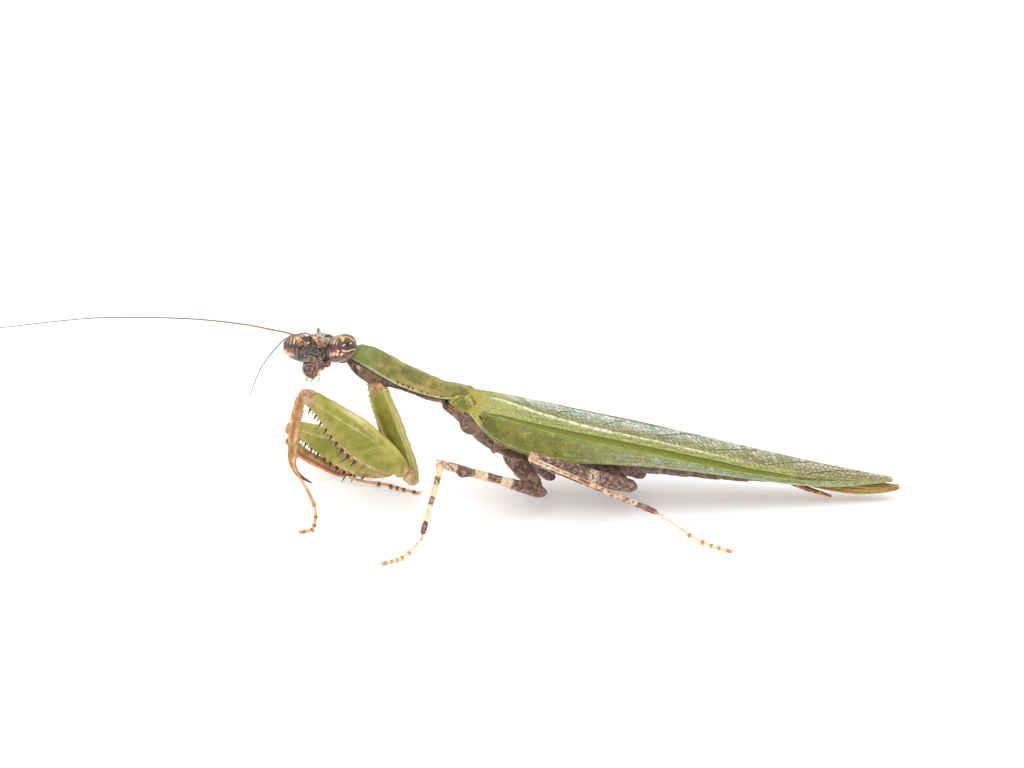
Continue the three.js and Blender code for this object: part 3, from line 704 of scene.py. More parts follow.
def planted(nodes, given, result, shape, mark, value):
    """Puts out the shape, marked, on every point, its own z along the point's way and as long
    and thick as the point says."""
    marked = nodes.put("GeometryNodeStoreNamedAttribute", {"Geometry": shape, "Name": mark, "Value": value})
    thick = told(nodes, "thick")
    size = nodes.put("ShaderNodeCombineXYZ", {"X": thick, "Y": thick, "Z": told(nodes, "long")})
    lean = nodes.put("FunctionNodeAlignRotationToVector", {"Vector": told(nodes, "way", "FLOAT_VECTOR")},
        axis="Z")
    grown = nodes.put("GeometryNodeInstanceOnPoints",
        {"Points": given["Points"], "Instance": marked, "Rotation": lean, "Scale": size})
    painted(nodes, given, result, grown)


def thorn_tree():
    """A cone on every point. The mark rise runs from 0 at its root to 1 at its tip."""
    tree, nodes, given, result = growing_group("thorns", "Points", 6, Blunt=0.12)
    cone = nodes.put("GeometryNodeMeshCone",
        {"Vertices": given["Sides"], "Side Segments": 3, "Radius Top": given["Blunt"], "Radius Bottom": 1.0,
            "Depth": 1.0})
    planted(nodes, given, result, cone, "rise", place_and_height(nodes)[1])
    return tree


def bead_tree():
    """A barrel on every point, with a waist at its ends. The mark end runs from 0 at its middle
    to 1 at either end."""
    tree, nodes, given, result = growing_group("joints", "Points", 10, Waist=0.2)
    barrel = nodes.put("GeometryNodeMeshCylinder",
        {"Vertices": given["Sides"], "Side Segments": 4, "Radius": 1.0, "Depth": 1.0})
    here, height = place_and_height(nodes)
    end = nodes.times(nodes.math("ABSOLUTE", height), 2.0)
    width = nodes.math("SUBTRACT", 1.0, nodes.times(nodes.math("POWER", end, 3.0), given["Waist"]))
    waist = nodes.put("ShaderNodeCombineXYZ", {"X": width, "Y": width, "Z": 1.0})
    shaped = nodes.put("GeometryNodeSetPosition",
        {"Geometry": barrel, "Position": nodes.vector_math("MULTIPLY", {0: here, 1: waist})})
    planted(nodes, given, result, shaped, "end", end)
    return tree


def tube_tree():
    """A round tube along every chain of edges, as thick as its points say."""
    tree, nodes, given, result = growing_group("tubes", "Lines", 6)
    chain = nodes.put("GeometryNodeMeshToCurve", {"Mesh": given["Lines"]})
    section = nodes.put("GeometryNodeCurvePrimitiveCircle", {"Resolution": given["Sides"], "Radius": 1.0})
    tube = nodes.put("GeometryNodeCurveToMesh",
        {"Curve": chain, "Profile Curve": section, "Scale": told(nodes, "thick"), "Fill Caps": True})
    painted(nodes, given, result, tube)
    return tree


THORNS, TUBES, JOINTS = thorn_tree(), tube_tree(), bead_tree()


def grown_by(tree, name, points, edges, values, vectors, material, **settings):
    """A plain mesh grown by a tree from points in mantis millimetres, with its values on them."""
    piece = plain_object(name, (np.asarray(points, float) + ORIGIN) * MM, edges, [], values)
    for mark, value in vectors.items():
        data = piece.data.attributes.new(mark, "FLOAT_VECTOR", "POINT").data
        data.foreach_set("vector", np.asarray(value, float).ravel())
    modifier = piece.modifiers.new(name, "NODES")
    modifier.node_group = tree
    sockets = {item.name: item.identifier for item in tree.interface.items_tree if item.in_out == "INPUT"}
    modifier[sockets["Finish"]] = material
    for label, value in settings.items():
        modifier[sockets[label]] = value
    return flattened(piece)


def thorns(name, roots, ways, lengths, radii, material, tones=0.0, **settings):
    """Spines, teeth or granules. Lengths and radii are in mm."""
    values = {"long": np.asarray(lengths) * MM, "thick": np.asarray(radii) * MM, "tone": tones}
    return grown_by(THORNS, name, roots, [], values, {"way": unit(np.asarray(ways, float))}, material,
        **settings)


def joints(name, line, lengths, radii, material, tones=0.0, **settings):
    """Barrels end to end along a line, each of its own length and radius in mm."""
    ends = np.cumsum(np.concatenate([[0], lengths]))
    samples = np.linspace(0, 1, 40 * line.spans)
    walked = line.at(samples)
    travelled = np.concatenate([[0], np.cumsum(np.linalg.norm(np.diff(walked, axis=0), axis=1))])
    middles = np.interp((ends[:-1] + ends[1:]) / 2, travelled, samples)
    values = {"long": np.asarray(lengths) * 1.04 * MM, "thick": np.asarray(radii) * MM,
        "along": (ends[:-1] + ends[1:]) / 2 / travelled[-1], "tone": tones}
    return grown_by(JOINTS, name, line.at(middles), [], values, {"way": line.heading(middles)}, material,
        **settings)


def tubes(name, lines, material, sides=6):
    """Round tubes along lines. A line is (points, radii, tone)."""
    points = np.vstack([line[0] for line in lines])
    radii = np.concatenate([np.broadcast_to(line[1], len(line[0])) for line in lines]) * MM
    tones = np.concatenate([np.broadcast_to(line[2], len(line[0])) for line in lines])
    edges, start = [], 0
    for line in lines:
        edges += [(start + i, start + i + 1) for i in range(len(line[0]) - 1)]
        start += len(line[0])
    return grown_by(TUBES, name, points, edges, {"thick": radii, "tone": tones}, {}, material, Sides=sides)


# ---- finishes ----


def mask_group(name, outputs, **sizes):
    inputs = [(label.replace("_", " "), FLOAT, value) for label, value in sizes.items()]
    return new_group(name, "ShaderNodeTree", inputs, [(label, FLOAT) for label in outputs])


def ragged_group():
    """Breaks up the edge of a soft mask with noise."""
    tree, nodes, given, result = mask_group("ragged edge", ["Mask"], Mask=0.0, Scale=3.0, Amount=0.5)
    ripple = nodes.noise(nodes.place(), given["Scale"], 4.0, 0.6)
    shift = nodes.times(nodes.math("SUBTRACT", ripple, 0.5), given["Amount"])
    nodes.feed(result["Mask"], nodes.step(nodes.math("ADD", given["Mask"], shift), 0.35, 0.65))
    return tree


def grain_group():
    """The pits and fine wrinkles of cuticle: a height for bump and a soft shade for colour."""
    tree, nodes, given, result = mask_group("cuticle grain", ["Height", "Shade"], Pit_Scale=9.0,
        Wrinkle_Scale=4.0, Pits=0.5)
    place = nodes.place()
    pits = nodes.times(nodes.step(nodes.cells(place, given["Pit Scale"]), 0.1, 0.5), given["Pits"])
    wrinkles = nodes.noise(place, given["Wrinkle Scale"], 5.0, 0.65, 0.4)
    nodes.feed(result["Height"], nodes.math("ADD", pits, wrinkles))
    broad = nodes.times(given["Wrinkle Scale"], 0.4)
    nodes.feed(result["Shade"], nodes.noise(place, broad, 4.0, 0.6))
    return tree


def specks_group():
    """Small round spots strewn over the surface, for how many of the cells that the share says."""
    tree, nodes, given, result = mask_group("specks", ["Mask"], Scale=5.0, Share=0.3, Size=0.3)
    place = nodes.place()
    reach = nodes.cells(place, given["Scale"])
    lot = nodes.put("ShaderNodeSeparateColor", {0: nodes.cells(place, given["Scale"], "Color")})
    inside = nodes.step(reach, given["Size"], nodes.times(given["Size"], 0.5))
    chosen = nodes.math("LESS_THAN", lot, given["Share"])
    nodes.feed(result["Mask"], nodes.times(inside, chosen))
    return tree


RAGGED, GRAIN, SPECKS = ragged_group(), grain_group(), specks_group()


class Finish(Nodes):
    """A material in the making: its shader, and the colour that its layers give so far."""

    def __init__(self, name, roughness, coat=None, coat_roughness=None, glow=None):
        self.material = bpy.data.materials.new(name)
        self.material.use_nodes = True
        super().__init__(self.material.node_tree)
        self.shader = self.tree.nodes["Principled BSDF"]
        constants = {"Specular IOR Level": 0.3, "Roughness": roughness, "Coat Weight": coat,
            "Coat Roughness": coat_roughness, "Emission Strength": glow}
        for label, value in constants.items():
            if value is not None:
                self.feed(self.shader.inputs[label], value)

    def ragged(self, mask, scale=3.0, amount=0.5):
        return self.group(RAGGED, Mask=mask, Scale=scale, Amount=amount)["Mask"]

    def specks(self, scale, share, size=0.3):
        return self.group(SPECKS, Scale=scale, Share=share, Size=size)["Mask"]

    def grain(self, pit_scale=9.0, wrinkle_scale=4.0, pits=0.5):
        return self.group(GRAIN, Pit_Scale=pit_scale, Wrinkle_Scale=wrinkle_scale, Pits=pits)

    def shaded(self, colour, shade, dark=0.75, light=1.2):
        """The colour made lighter and darker by a 0 to 1 shade."""
        level = self.step(shade, 0.3, 0.7, dark, light)
        grey = self.put("ShaderNodeCombineColor", {0: level, 1: level, 2: level})
        return self.mix(1.0, colour, grey, "MULTIPLY")

    def lay(self, mask, paint, share=None):
        """Lays a paint over the colour so far where the mask is 1, or a share of it."""
        if share is not None:
            mask = self.times(mask, share)
        self.colour = self.mix(mask, self.colour, paint)

    def done(self, colour=None, roughness=None, height=None, depth=0.02):
        """The finished material. Depth is in millimetres for a height from 0 to 1."""
        self.feed(self.shader.inputs["Base Color"], colour or self.colour)
        if roughness is not None:
            self.feed(self.shader.inputs["Roughness"], roughness)
        if height is not None:
            bump = self.put("ShaderNodeBump", {"Height": height, "Distance": depth * MM})
            self.feed(self.shader.inputs["Normal"], bump)
        return self.material


def head_finish():
    f = Finish("head_cuticle", 0.42, 0.1, 0.25)
    place = f.place()
    grain = f.grain(16.0, 7.0, 0.4)
    blotch = f.noise(place, 3.2, 5.0, 0.72, 0.6)
    slate = f.ramp(blotch, (0.36, (0.013, 0.012, 0.013)), (0.46, (0.05, 0.043, 0.038)),
        (0.55, (0.096, 0.073, 0.06)), (0.64, (0.32, 0.25, 0.21)))
    rose = f.ramp(blotch, (0.36, (0.03, 0.014, 0.013)), (0.46, (0.09, 0.052, 0.045)),
        (0.55, (0.175, 0.105, 0.085)), (0.64, (0.44, 0.31, 0.26)))
    olive = f.ramp(blotch, (0.38, (0.11, 0.11, 0.07)), (0.48, (0.4, 0.39, 0.26)), (0.6, (0.78, 0.76, 0.62)))
    brown = f.ramp(blotch, (0.36, (0.08, 0.025, 0.012)), (0.48, (0.26, 0.105, 0.045)),
        (0.6, (0.56, 0.32, 0.16)))
    f.colour = f.mix(f.ragged("rose", 3.0, 0.8), slate, rose)
    # olive grey on the top of the head, laid light enough to be partly a painted highlight on the vertex
    f.lay(f.ragged("olive", 3.0, 0.5), olive)
    f.lay(f.ragged("brown", 4.0, 0.9), brown)
    f.lay(f.specks(7.0, 0.3, 0.3), (0.4, 0.3, 0.26), 0.7)
    # painted highlights where the light mark says: on the brown dome by the left feeler and on the vertex
    # by the side ocellus, with a lighter line alongside the face plates' edges
    f.lay(f.times("light", f.step(grain["Shade"], 0.35, 0.6)), (0.56, 0.46, 0.42))
    # painted shade in the creases along the face plates' edges and round the foot of the brown dome, with
    # dark spots by the middle ocellus and on the horn
    f.lay(f.ragged("dark", 5.0, 0.3), (0.022, 0.014, 0.014), 0.85)
    f.lay("pale", (0.55, 0.5, 0.48))
    return f.done(height=grain["Height"], depth=0.04)


def scape_finish():
    f = Finish("feeler_roots", 0.4)
    mottle = f.noise(f.place(), 3.0, 4.0)
    return f.done(f.mix(f.step(mottle, 0.38, 0.58), (0.32, 0.13, 0.06), (0.78, 0.48, 0.27)))


def eye_finish(name):
    """Pale stripes round the outer end of an eye above a dark belt, and patches of painted highlight below
    it.
    The mark ring is 0 at the outer end and 1 at the inner; over is above 0 above the belt."""
    f = Finish(name, 0.25, 0.35, 0.1)
    place = f.place()
    cloud = f.noise(place, 1.6, 3.0, 0.6)
    waver = f.times(f.math("SUBTRACT", f.noise(place, 0.6, 2.0), 0.5), 0.03)
    ring = f.math("ADD", "ring", waver)
    wave = f.math("COSINE", f.times(f.math("SUBTRACT", ring, 0.295), 2 * math.pi * 13.3))
    over = f.mark("over")
    inward = f.times(f.step(ring, 0.6, 0.46), f.step(ring, 0.2, 0.3))
    stripe = f.times(f.step(wave, -0.7, 0.9), f.step(cloud, 0.34, 0.52, 0.45, 1.0))
    above = f.mix(f.step(over, 0.25, 0.62), (0.9, 0.6, 0.42), (0.6, 0.47, 0.2))
    upper = f.mix(f.times(stripe, inward), f.mix(cloud, (0.06, 0.028, 0.024), (0.2, 0.09, 0.07)), above)
    flesh = f.ramp(cloud, (0.38, (0.1, 0.03, 0.026)), (0.5, (0.3, 0.105, 0.085)), (0.62, (0.56, 0.27, 0.2)))
    lower = f.mix(f.times(f.step(wave, 0.1, -0.9), 0.65), flesh, (0.09, 0.035, 0.03))
    lower = f.mix(f.step(over, -0.62, -0.9), lower, f.mix(cloud, (0.08, 0.05, 0.05), (0.22, 0.13, 0.12)))
    # painted highlights: bright orange-pink patches low on the eye, where the glow mark says
    lower = f.mix("glow", lower, f.mix(f.step(ring, 0.24, 0.4), (1.0, 0.62, 0.36), (0.9, 0.5, 0.4)))
    f.colour = f.mix(f.step(over, 0.04, -0.06), upper, lower)
    shaded = f.times(f.step(ring, 0.38, 0.52), f.step(over, 0.34, 0.12))
    f.lay(shaded, f.mix(f.step(wave, -0.6, 0.8), (0.05, 0.045, 0.036), (0.16, 0.14, 0.09)), 0.85)
    f.lay("belt", f.mix(f.step(ring, 0.2, 0.34), (0.12, 0.03, 0.035), (0.045, 0.026, 0.02)))
    bronze = f.mix(f.step("over", 0.3, 0.5), (0.07, 0.03, 0.032), (0.17, 0.065, 0.025))
    f.lay("cap", bronze, 0.95)
    f.lay("patch", (0.7, 0.58, 0.17))
    f.lay("yellow", (0.7, 0.56, 0.2))
    f.lay("dash", (0.75, 0.55, 0.35))
    f.lay("pupil", (0.003, 0.003, 0.003))
    return f.done(height=f.cells(place, 32.0), depth=0.004)


def gem_finish():
    f = Finish("ocellus_glass", 0.08, 1.0, 0.03)
    clouded = f.noise(f.place(), 6.0, 2.0)
    return f.done(f.mix(clouded, (0.45, 0.32, 0.24), (0.72, 0.6, 0.5)))


def feeler_finish():
    f = Finish("feeler_cuticle", 0.5)
    along = f.mark("along")
    base = f.ramp(along, (0.0, (0.6, 0.25, 0.08)), (0.22, (0.52, 0.23, 0.09)), (0.42, (0.34, 0.19, 0.12)),
        (0.6, (0.2, 0.15, 0.12)), (1.0, (0.17, 0.14, 0.13)))
    ring = f.ramp(along, (0.0, (0.07, 0.025, 0.015)), (0.2, (0.04, 0.02, 0.015)),
        (1.0, (0.05, 0.04, 0.035)))
    f.colour = f.mix(f.step("end", 0.25, 0.6), base, ring)
    return f.done(f.shaded(f.colour, f.noise(f.place(), 2.0)), height=f.noise(f.place(), 20.0), depth=0.01)


def left_feeler_finish():
    f = Finish("feeler_cuticle_dusky", 0.5)
    base = f.ramp("along", (0.0, (0.5, 0.25, 0.12)), (0.05, (0.34, 0.19, 0.14)),
        (0.12, (0.27, 0.17, 0.145)), (0.3, (0.3, 0.22, 0.21)), (1.0, (0.3, 0.25, 0.24)))
    f.colour = f.mix(f.step("end", 0.6, 0.95), base, (0.13, 0.085, 0.075))
    return f.done(f.shaded(f.colour, f.noise(f.place(), 2.0)), height=f.noise(f.place(), 20.0), depth=0.01)


def mouth_finish():
    f = Finish("mouth_cuticle", 0.45, 0.2, 0.3)
    grain = f.grain(14.0, 6.0, 0.3)
    straw = f.shaded((0.66, 0.58, 0.32), grain["Shade"], 0.7, 1.1)
    f.colour = f.mix(f.ragged("brown", 5.0, 0.4), straw,
        f.shaded((0.24, 0.125, 0.075), grain["Shade"], 0.6, 1.5))
    f.lay("dark", (0.02, 0.018, 0.018))
    return f.done(height=grain["Height"], depth=0.02)


def shield_finish():
    f = Finish("shield_cuticle", 0.32, 0.3, 0.18)
    place = f.place()
    grain = f.grain(8.0, 3.5, 0.5)
    broad = f.noise(place, 0.55, 4.0, 0.6, 0.5)
    olive = f.ramp(broad, (0.38, (0.12, 0.135, 0.02)), (0.5, (0.2, 0.185, 0.034)),
        (0.6, (0.32, 0.27, 0.062)))
    fresh = f.mix(f.ragged("fresh", 0.9, 1.3), olive,
        f.mix(f.step(broad, 0.38, 0.62), (0.165, 0.23, 0.04), (0.22, 0.24, 0.05)))
    tawny = f.times(f.step(f.noise(place, 0.9, 5.0, 0.7), 0.54, 0.68), 0.5)
    f.colour = f.mix(tawny, fresh, (0.37, 0.24, 0.045))
    f.lay(f.specks(2.4, 0.12, 0.16), (0.5, 0.47, 0.24), 0.8)
    # painted highlight: a yellowish strip along the top of the shield
    f.lay("crown", (0.47, 0.41, 0.12), 0.5)
    f.lay(f.ragged("tan", 2.0, 1.6), (0.44, 0.3, 0.065), 0.6)
    f.lay("pale", (0.46, 0.48, 0.24))
    f.lay("dot", (0.01, 0.01, 0.01))
    rough = f.step(grain["Shade"], 0.2, 0.8, 0.3, 0.5)
    return f.done(f.shaded(f.colour, grain["Shade"], 0.78, 1.15), rough, grain["Height"], 0.06)


def wing_root_finish():
    f = Finish("wing_root_cuticle", 0.3, 0.5, 0.12)
    folds = f.noise(f.place(), 2.4, 5.0, 0.72, 1.4)
    f.colour = f.ramp(folds, (0.38, (0.09, 0.095, 0.004)), (0.5, (0.21, 0.205, 0.014)),
        (0.62, (0.42, 0.39, 0.08)))
    f.lay("gold", (0.6, 0.46, 0.1))
    return f.done(height=folds, depth=0.12)


def granule_finish():
    f = Finish("granules", 0.45)
    return f.done(f.shaded((0.5, 0.49, 0.3), f.noise(f.place(), 3.0), 0.6, 1.15))


def trunk_finish():
    f = Finish("bark_cuticle", 0.55)
    place = f.place()
    grain = f.grain(8.0, 3.0, 0.9)
    mottle = f.noise(place, 1.2, 6.0, 0.72, 0.8)
    f.colour = f.ramp(mottle, (0.35, (0.07, 0.044, 0.038)), (0.45, (0.15, 0.09, 0.07)),
        (0.54, (0.25, 0.152, 0.112)), (0.64, (0.44, 0.29, 0.205)))
    belly = f.ramp(mottle, (0.37, (0.06, 0.04, 0.034)), (0.48, (0.15, 0.1, 0.08)),
        (0.6, (0.32, 0.21, 0.155)))
    f.lay("belly", belly)
    f.lay(f.ragged("rust", 4.0, 1.8), (0.42, 0.19, 0.1), 0.6)
    # where the dark mark says: darker on the coxae, and painted shade under the shield's overhang
    f.lay(f.ragged("dark", 2.0, 1.6), (0.07, 0.048, 0.042))
    f.lay(f.specks(4.0, 0.3, 0.34), (0.42, 0.27, 0.17), 0.6)
    f.lay(f.specks(4.5, 0.3, 0.3), (0.015, 0.01, 0.01), 0.9)
    f.lay(f.ragged("green", 2.5, 0.5), f.shaded((0.31, 0.29, 0.045), grain["Shade"], 0.55, 1.5))
    f.lay(f.ragged("pale", 3.0, 0.6), (0.55, 0.47, 0.25))
    return f.done(height=grain["Height"], depth=0.07)


def foreleg_finish():
    f = Finish("foreleg_green", 0.4, 0.1, 0.25)
    place = f.place()
    grain = f.grain(9.0, 3.5, 0.5)
    broad = f.noise(place, 0.35, 3.0, 0.5)
    moss = f.ramp(broad, (0.38, (0.245, 0.235, 0.033)), (0.5, (0.32, 0.295, 0.052)),
        (0.62, (0.385, 0.345, 0.072)))
    # lighter where the light mark says: a painted highlight along the femur's upper edge, and lighter
    # strips on the coxa
    lightened_moss = f.mix("light", moss, (0.54, 0.485, 0.14))
    f.colour = f.mix("deep", lightened_moss, (0.17, 0.16, 0.006))
    flecks = f.step(f.noise(place, 5.0, 4.0, 0.7), 0.56, 0.68)
    f.lay(flecks, (0.52, 0.47, 0.17), 0.35)
    stains = f.step(f.noise(place, 1.6, 5.0, 0.7), 0.58, 0.7)
    f.lay(stains, (0.4, 0.26, 0.06), 0.3)
    uneven = f.step(f.noise(place, 1.8, 5.0, 0.65, 1.0), 0.38, 0.62)
    bark = f.mix(uneven, (0.25, 0.12, 0.06), (0.54, 0.34, 0.18))
    f.lay(f.ragged("tan", 2.6, 0.5), f.mix(uneven, (0.32, 0.19, 0.07), (0.6, 0.44, 0.19)))
    f.lay(f.ragged("brown", 3.2, 0.9), bark)
    # pale ribs, and on the femur a painted highlight high on its upper edge
    f.lay(f.times("pale", f.step(broad, 0.3, 0.55, 0.6, 1.0)), (0.66, 0.6, 0.3))
    return f.done(f.shaded(f.colour, grain["Shade"], 0.86, 1.1), height=grain["Height"], depth=0.03)


def tawny_finish():
    f = Finish("foreleg_tawny", 0.4, 0.15, 0.25)
    place = f.place()
    grain = f.grain(10.0, 4.0, 0.4)
    streak = f.step("streak", 0.3, 0.7)
    uneven = f.noise(place, 1.2, 4.0)
    olive = f.mix(f.step(uneven, 0.4, 0.6), (0.34, 0.22, 0.055), (0.64, 0.42, 0.17))
    tan = f.mix(f.times(streak, f.step(uneven, 0.3, 0.6, 0.3, 1.0)), olive, (0.42, 0.15, 0.055))
    amber = f.mix("amber", tan, f.mix(uneven, (0.45, 0.22, 0.06), (0.8, 0.52, 0.21)))
    rusty = f.mix(streak, (0.62, 0.27, 0.1), (0.3, 0.095, 0.045))
    red = f.mix("red", amber, f.shaded(rusty, uneven, 0.75, 1.2))
    f.colour = f.mix(f.ragged("brown", 3.0, 0.7), red, (0.16, 0.065, 0.04))
    return f.done(f.shaded(f.colour, grain["Shade"], 0.7, 1.2), height=grain["Height"], depth=0.03)


def spine_finish():
    """Spines: dark or orange at the root, by the tone mark, with a black tip."""
    f = Finish("spine_horn", 0.25, 0.4, 0.15)
    root = f.mix("tone", (0.04, 0.014, 0.012), (0.8, 0.36, 0.16))
    tip = f.step("rise", 0.35, 0.8)
    return f.done(f.shaded(f.mix(tip, root, (0.012, 0.006, 0.008)), f.noise(f.place(), 4.0)))


def banded_finish():
    f = Finish("banded_leg", 0.48, 0.08, 0.3)
    place = f.place()
    grain = f.grain(9.0, 4.0, 0.6)
    cream = f.mix(f.step(f.noise(place, 0.9, 4.0), 0.35, 0.65), (0.7, 0.5, 0.32), (0.92, 0.76, 0.56))
    straw = f.mix("straw", cream, f.mix(f.noise(place, 1.2, 3.0), (0.66, 0.53, 0.27), (0.93, 0.84, 0.57)))
    rosy = f.step(f.noise(place, 1.6, 5.0, 0.7), 0.38, 0.6)
    pink = f.mix(f.times("pink", rosy), straw, (0.45, 0.2, 0.12))
    blotch = f.ramp(f.noise(place, 2.6, 5.0, 0.75), (0.38, (0.05, 0.025, 0.02)), (0.5, (0.18, 0.1, 0.074)),
        (0.62, (0.42, 0.27, 0.19)))
    f.colour = f.mix(f.ragged("dark", 4.5, 1.5), pink, blotch)
    f.lay(f.times(f.specks(5.0, 0.45, 0.36), "speckled"), (0.07, 0.03, 0.024))
    f.lay(f.ragged("rust", 3.0, 0.7), (0.58, 0.25, 0.085))
    f.lay("dot", (0.2, 0.055, 0.04))
    return f.done(height=grain["Height"], depth=0.055)


def cercus_finish():
    f = Finish("cercus_cuticle", 0.5)
    rusty = f.mix(f.step(f.noise(f.place(), 1.6, 4.0), 0.42, 0.58), (0.24, 0.09, 0.04), (0.62, 0.32, 0.12))
    f.colour = f.mix(f.step("end", 0.6, 1.0), rusty, (0.16, 0.065, 0.035))
    return f.done(f.shaded(f.colour, f.noise(f.place(), 3.0), 0.7, 1.3), height=f.noise(f.place(), 16.0))


def tegmen_finish():
    """The forewing's membrane. Marks: band, crest, disc, tail and root say which part a point
    is in; cell is a lot drawn for its cell, rise its height in it and gap how far it is from
    the cell's veins."""
    f = Finish("forewing_membrane", 0.4, 0.3, 0.15)
    place = f.place()
    fine = f.noise(place, 5.0, 4.0, 0.65)
    broad = f.noise(place, 0.6, 5.0, 0.65)
    patch = f.step(f.noise(place, 0.75, 3.0), 0.6, 0.7)
    blue = f.times(f.step("cell", 0.45, 0.9), "frost")

    costal = f.ramp(broad, (0.34, (0.12, 0.125, 0.012)), (0.5, (0.19, 0.195, 0.026)),
        (0.66, (0.27, 0.26, 0.045)))
    costal = f.mix(f.step("along", 0.3, 0.1, 0.0, 0.75), costal,
        f.mix(f.step(broad, 0.42, 0.58), (0.1, 0.105, 0.003), (0.17, 0.155, 0.008)))
    costal = f.mix(f.times(patch, 0.8), costal, (0.44, 0.37, 0.06))
    costal = f.mix(f.times("frost", 0.75), costal, (0.4, 0.4, 0.25))
    costal = f.mix(f.times(blue, f.step(fine, 0.42, 0.56, 0.25, 0.85)), costal, (0.52, 0.55, 0.46))
    tan = f.mix(f.step("cell", 0.15, 0.85), (0.2, 0.185, 0.055), (0.4, 0.3, 0.15))
    tan = f.mix(f.step(broad, 0.4, 0.6), tan, (0.3, 0.31, 0.11))
    # the upper disc: pale green cells under a painted silvery sheen, lighter cell by cell, darker towards
    # the rear
    pale_green_and_sheen = f.mix(f.step("cell", 0.1, 0.9), (0.38, 0.43, 0.31), (0.62, 0.63, 0.55))
    dusk = f.mix(f.step("cell", 0.1, 0.9), (0.27, 0.28, 0.16), (0.48, 0.46, 0.34))
    pale_green_and_sheen = f.mix(f.step("along", 0.42, 0.72), pale_green_and_sheen, dusk)
    disc = f.mix(f.step("upper", 0.2, 0.9), tan, pale_green_and_sheen)
    glint = f.times(f.step("rise", 0.0, 0.28), f.step(fine, 0.4, 0.6, 0.35, 1.0))
    disc = f.mix(f.times(glint, 0.32), disc, (0.8, 0.8, 0.72))
    under = f.mix(fine, (0.3, 0.31, 0.07), (0.5, 0.48, 0.2))
    disc = f.mix(f.step("upper", 0.02, 0.0), disc, under)
    amber = f.step(f.noise(f.vector_math("MULTIPLY", {0: place, 1: (0.5, 1.0, 1.6)}), 0.9, 3.0), 0.52, 0.62)
    base = f.mix(fine, (0.26, 0.26, 0.04), (0.46, 0.43, 0.15))
    base = f.mix(f.times(amber, 0.75), base, (0.42, 0.3, 0.045))
    disc = f.mix(f.step("along", 0.2, 0.07), disc, base)
    # the tail: each cell lighter towards its upper side as a painted glint, and whitish towards the ridge
    # as a painted sheen
    tail = f.mix(f.step("rise", -0.25, 0.3), (0.26, 0.23, 0.1), (0.42, 0.38, 0.22))
    tail = f.mix(f.times(f.step("cell", 0.5, 0.9), 0.6), tail, (0.36, 0.28, 0.14))
    tail = f.mix(f.times(f.step("upper", 0.1, 0.7), 0.5), tail, (0.62, 0.6, 0.45))
    disc = f.mix("tail", disc, tail)
    costal = f.mix(f.step("along", 0.76, 0.86, 0.0, 0.85), costal, tail)

    stripe = f.ramp("band_rise", (0.05, (0.2, 0.26, 0.02)), (0.35, (0.17, 0.19, 0.008)),
        (0.9, (0.13, 0.125, 0.004)))
    stripe = f.mix(f.step("along", 0.64, 0.82), stripe, (0.28, 0.26, 0.09))
    f.colour = f.mix("disc", costal, disc)
    f.lay("band", stripe)
    shine = f.times("crest", f.step(f.noise(place, 2.2, 4.0), 0.4, 0.56, 0.15, 1.0))
    f.lay(shine, (0.9, 0.87, 0.68))
    f.lay(f.ragged("root", 3.0, 0.7), (0.38, 0.33, 0.05))
    f.lay("spot", (0.5, 0.2, 0.04))
    f.lay(f.step("spot", 0.45, 0.6), (0.04, 0.015, 0.012))
    crimp = f.math("ADD", f.times(f.step("gap", 0.0, 0.25), 0.5), fine)
    return f.done(f.shaded(f.colour, fine, 0.76, 1.2), height=crimp, depth=0.03)


def vein_finish():
    """Wing veins, by the tone mark: pale green, dark green, yellow or brown."""
    f = Finish("wing_vein", 0.4, 0.3, 0.2)
    f.colour = f.ramp("tone", (0.0, (0.52, 0.56, 0.33)), (0.1, (0.32, 0.4, 0.1)),
        (0.2, (0.11, 0.18, 0.055)), (0.3, (0.09, 0.1, 0.04)), (0.45, (0.25, 0.3, 0.06)),
        (0.6, (0.52, 0.45, 0.16)), (0.8, (0.085, 0.06, 0.035)))
    return f.done(f.shaded(f.colour, f.noise(f.place(), 1.5), 0.75, 1.25))


def hindwing_finish():
    f = Finish("hindwing_membrane", 0.4, 0.2, 0.25)
    place = f.place()
    fine = f.noise(place, 6.0, 4.0)
    olive = f.mix(f.step(fine, 0.4, 0.6), (0.2, 0.17, 0.035), (0.42, 0.31, 0.09))
    f.colour = f.mix(f.step(f.noise(place, 3.4, 3.0), 0.52, 0.6), olive, (0.5, 0.24, 0.075))
    f.lay(f.ragged("rim", 4.0, 1.0), (0.5, 0.2, 0.08), 0.8)
    f.lay(f.times(f.specks(4.0, 0.4, 0.32), "tail"), (0.68, 0.43, 0.13))
    return f.done(height=fine, depth=0.03)


def floor_finish():
    f = Finish("studio_floor", 0.9, glow=0.16)
    fleck = f.noise(f.place(), 0.02, 2.0)
    return f.done(f.mix(fleck, (0.92, 0.92, 0.925), (0.94, 0.94, 0.945)))


# ---- head: x runs to its left, -y out of the face, z to the vertex ----

crown_rows = [[0, 0.6, 0.6], [0.2, 1.25, 1.05], [0.5, 1.45, 1.25], [0.8, 1.25, 1.0], [1, 0.6, 0.6]]
face_stations = [
    [0, -0.3, 1.05, 1.0, 0.9],
    [0, -0.5, 0.5, 1.6, 1.1],
    [-0.05, -0.85, -0.4, 1.45, 0.98],
    [-0.15, -1.15, -1.2, 1.02, 0.8],
    [-0.3, -1.5, -1.9, 0.62, 0.55],
]
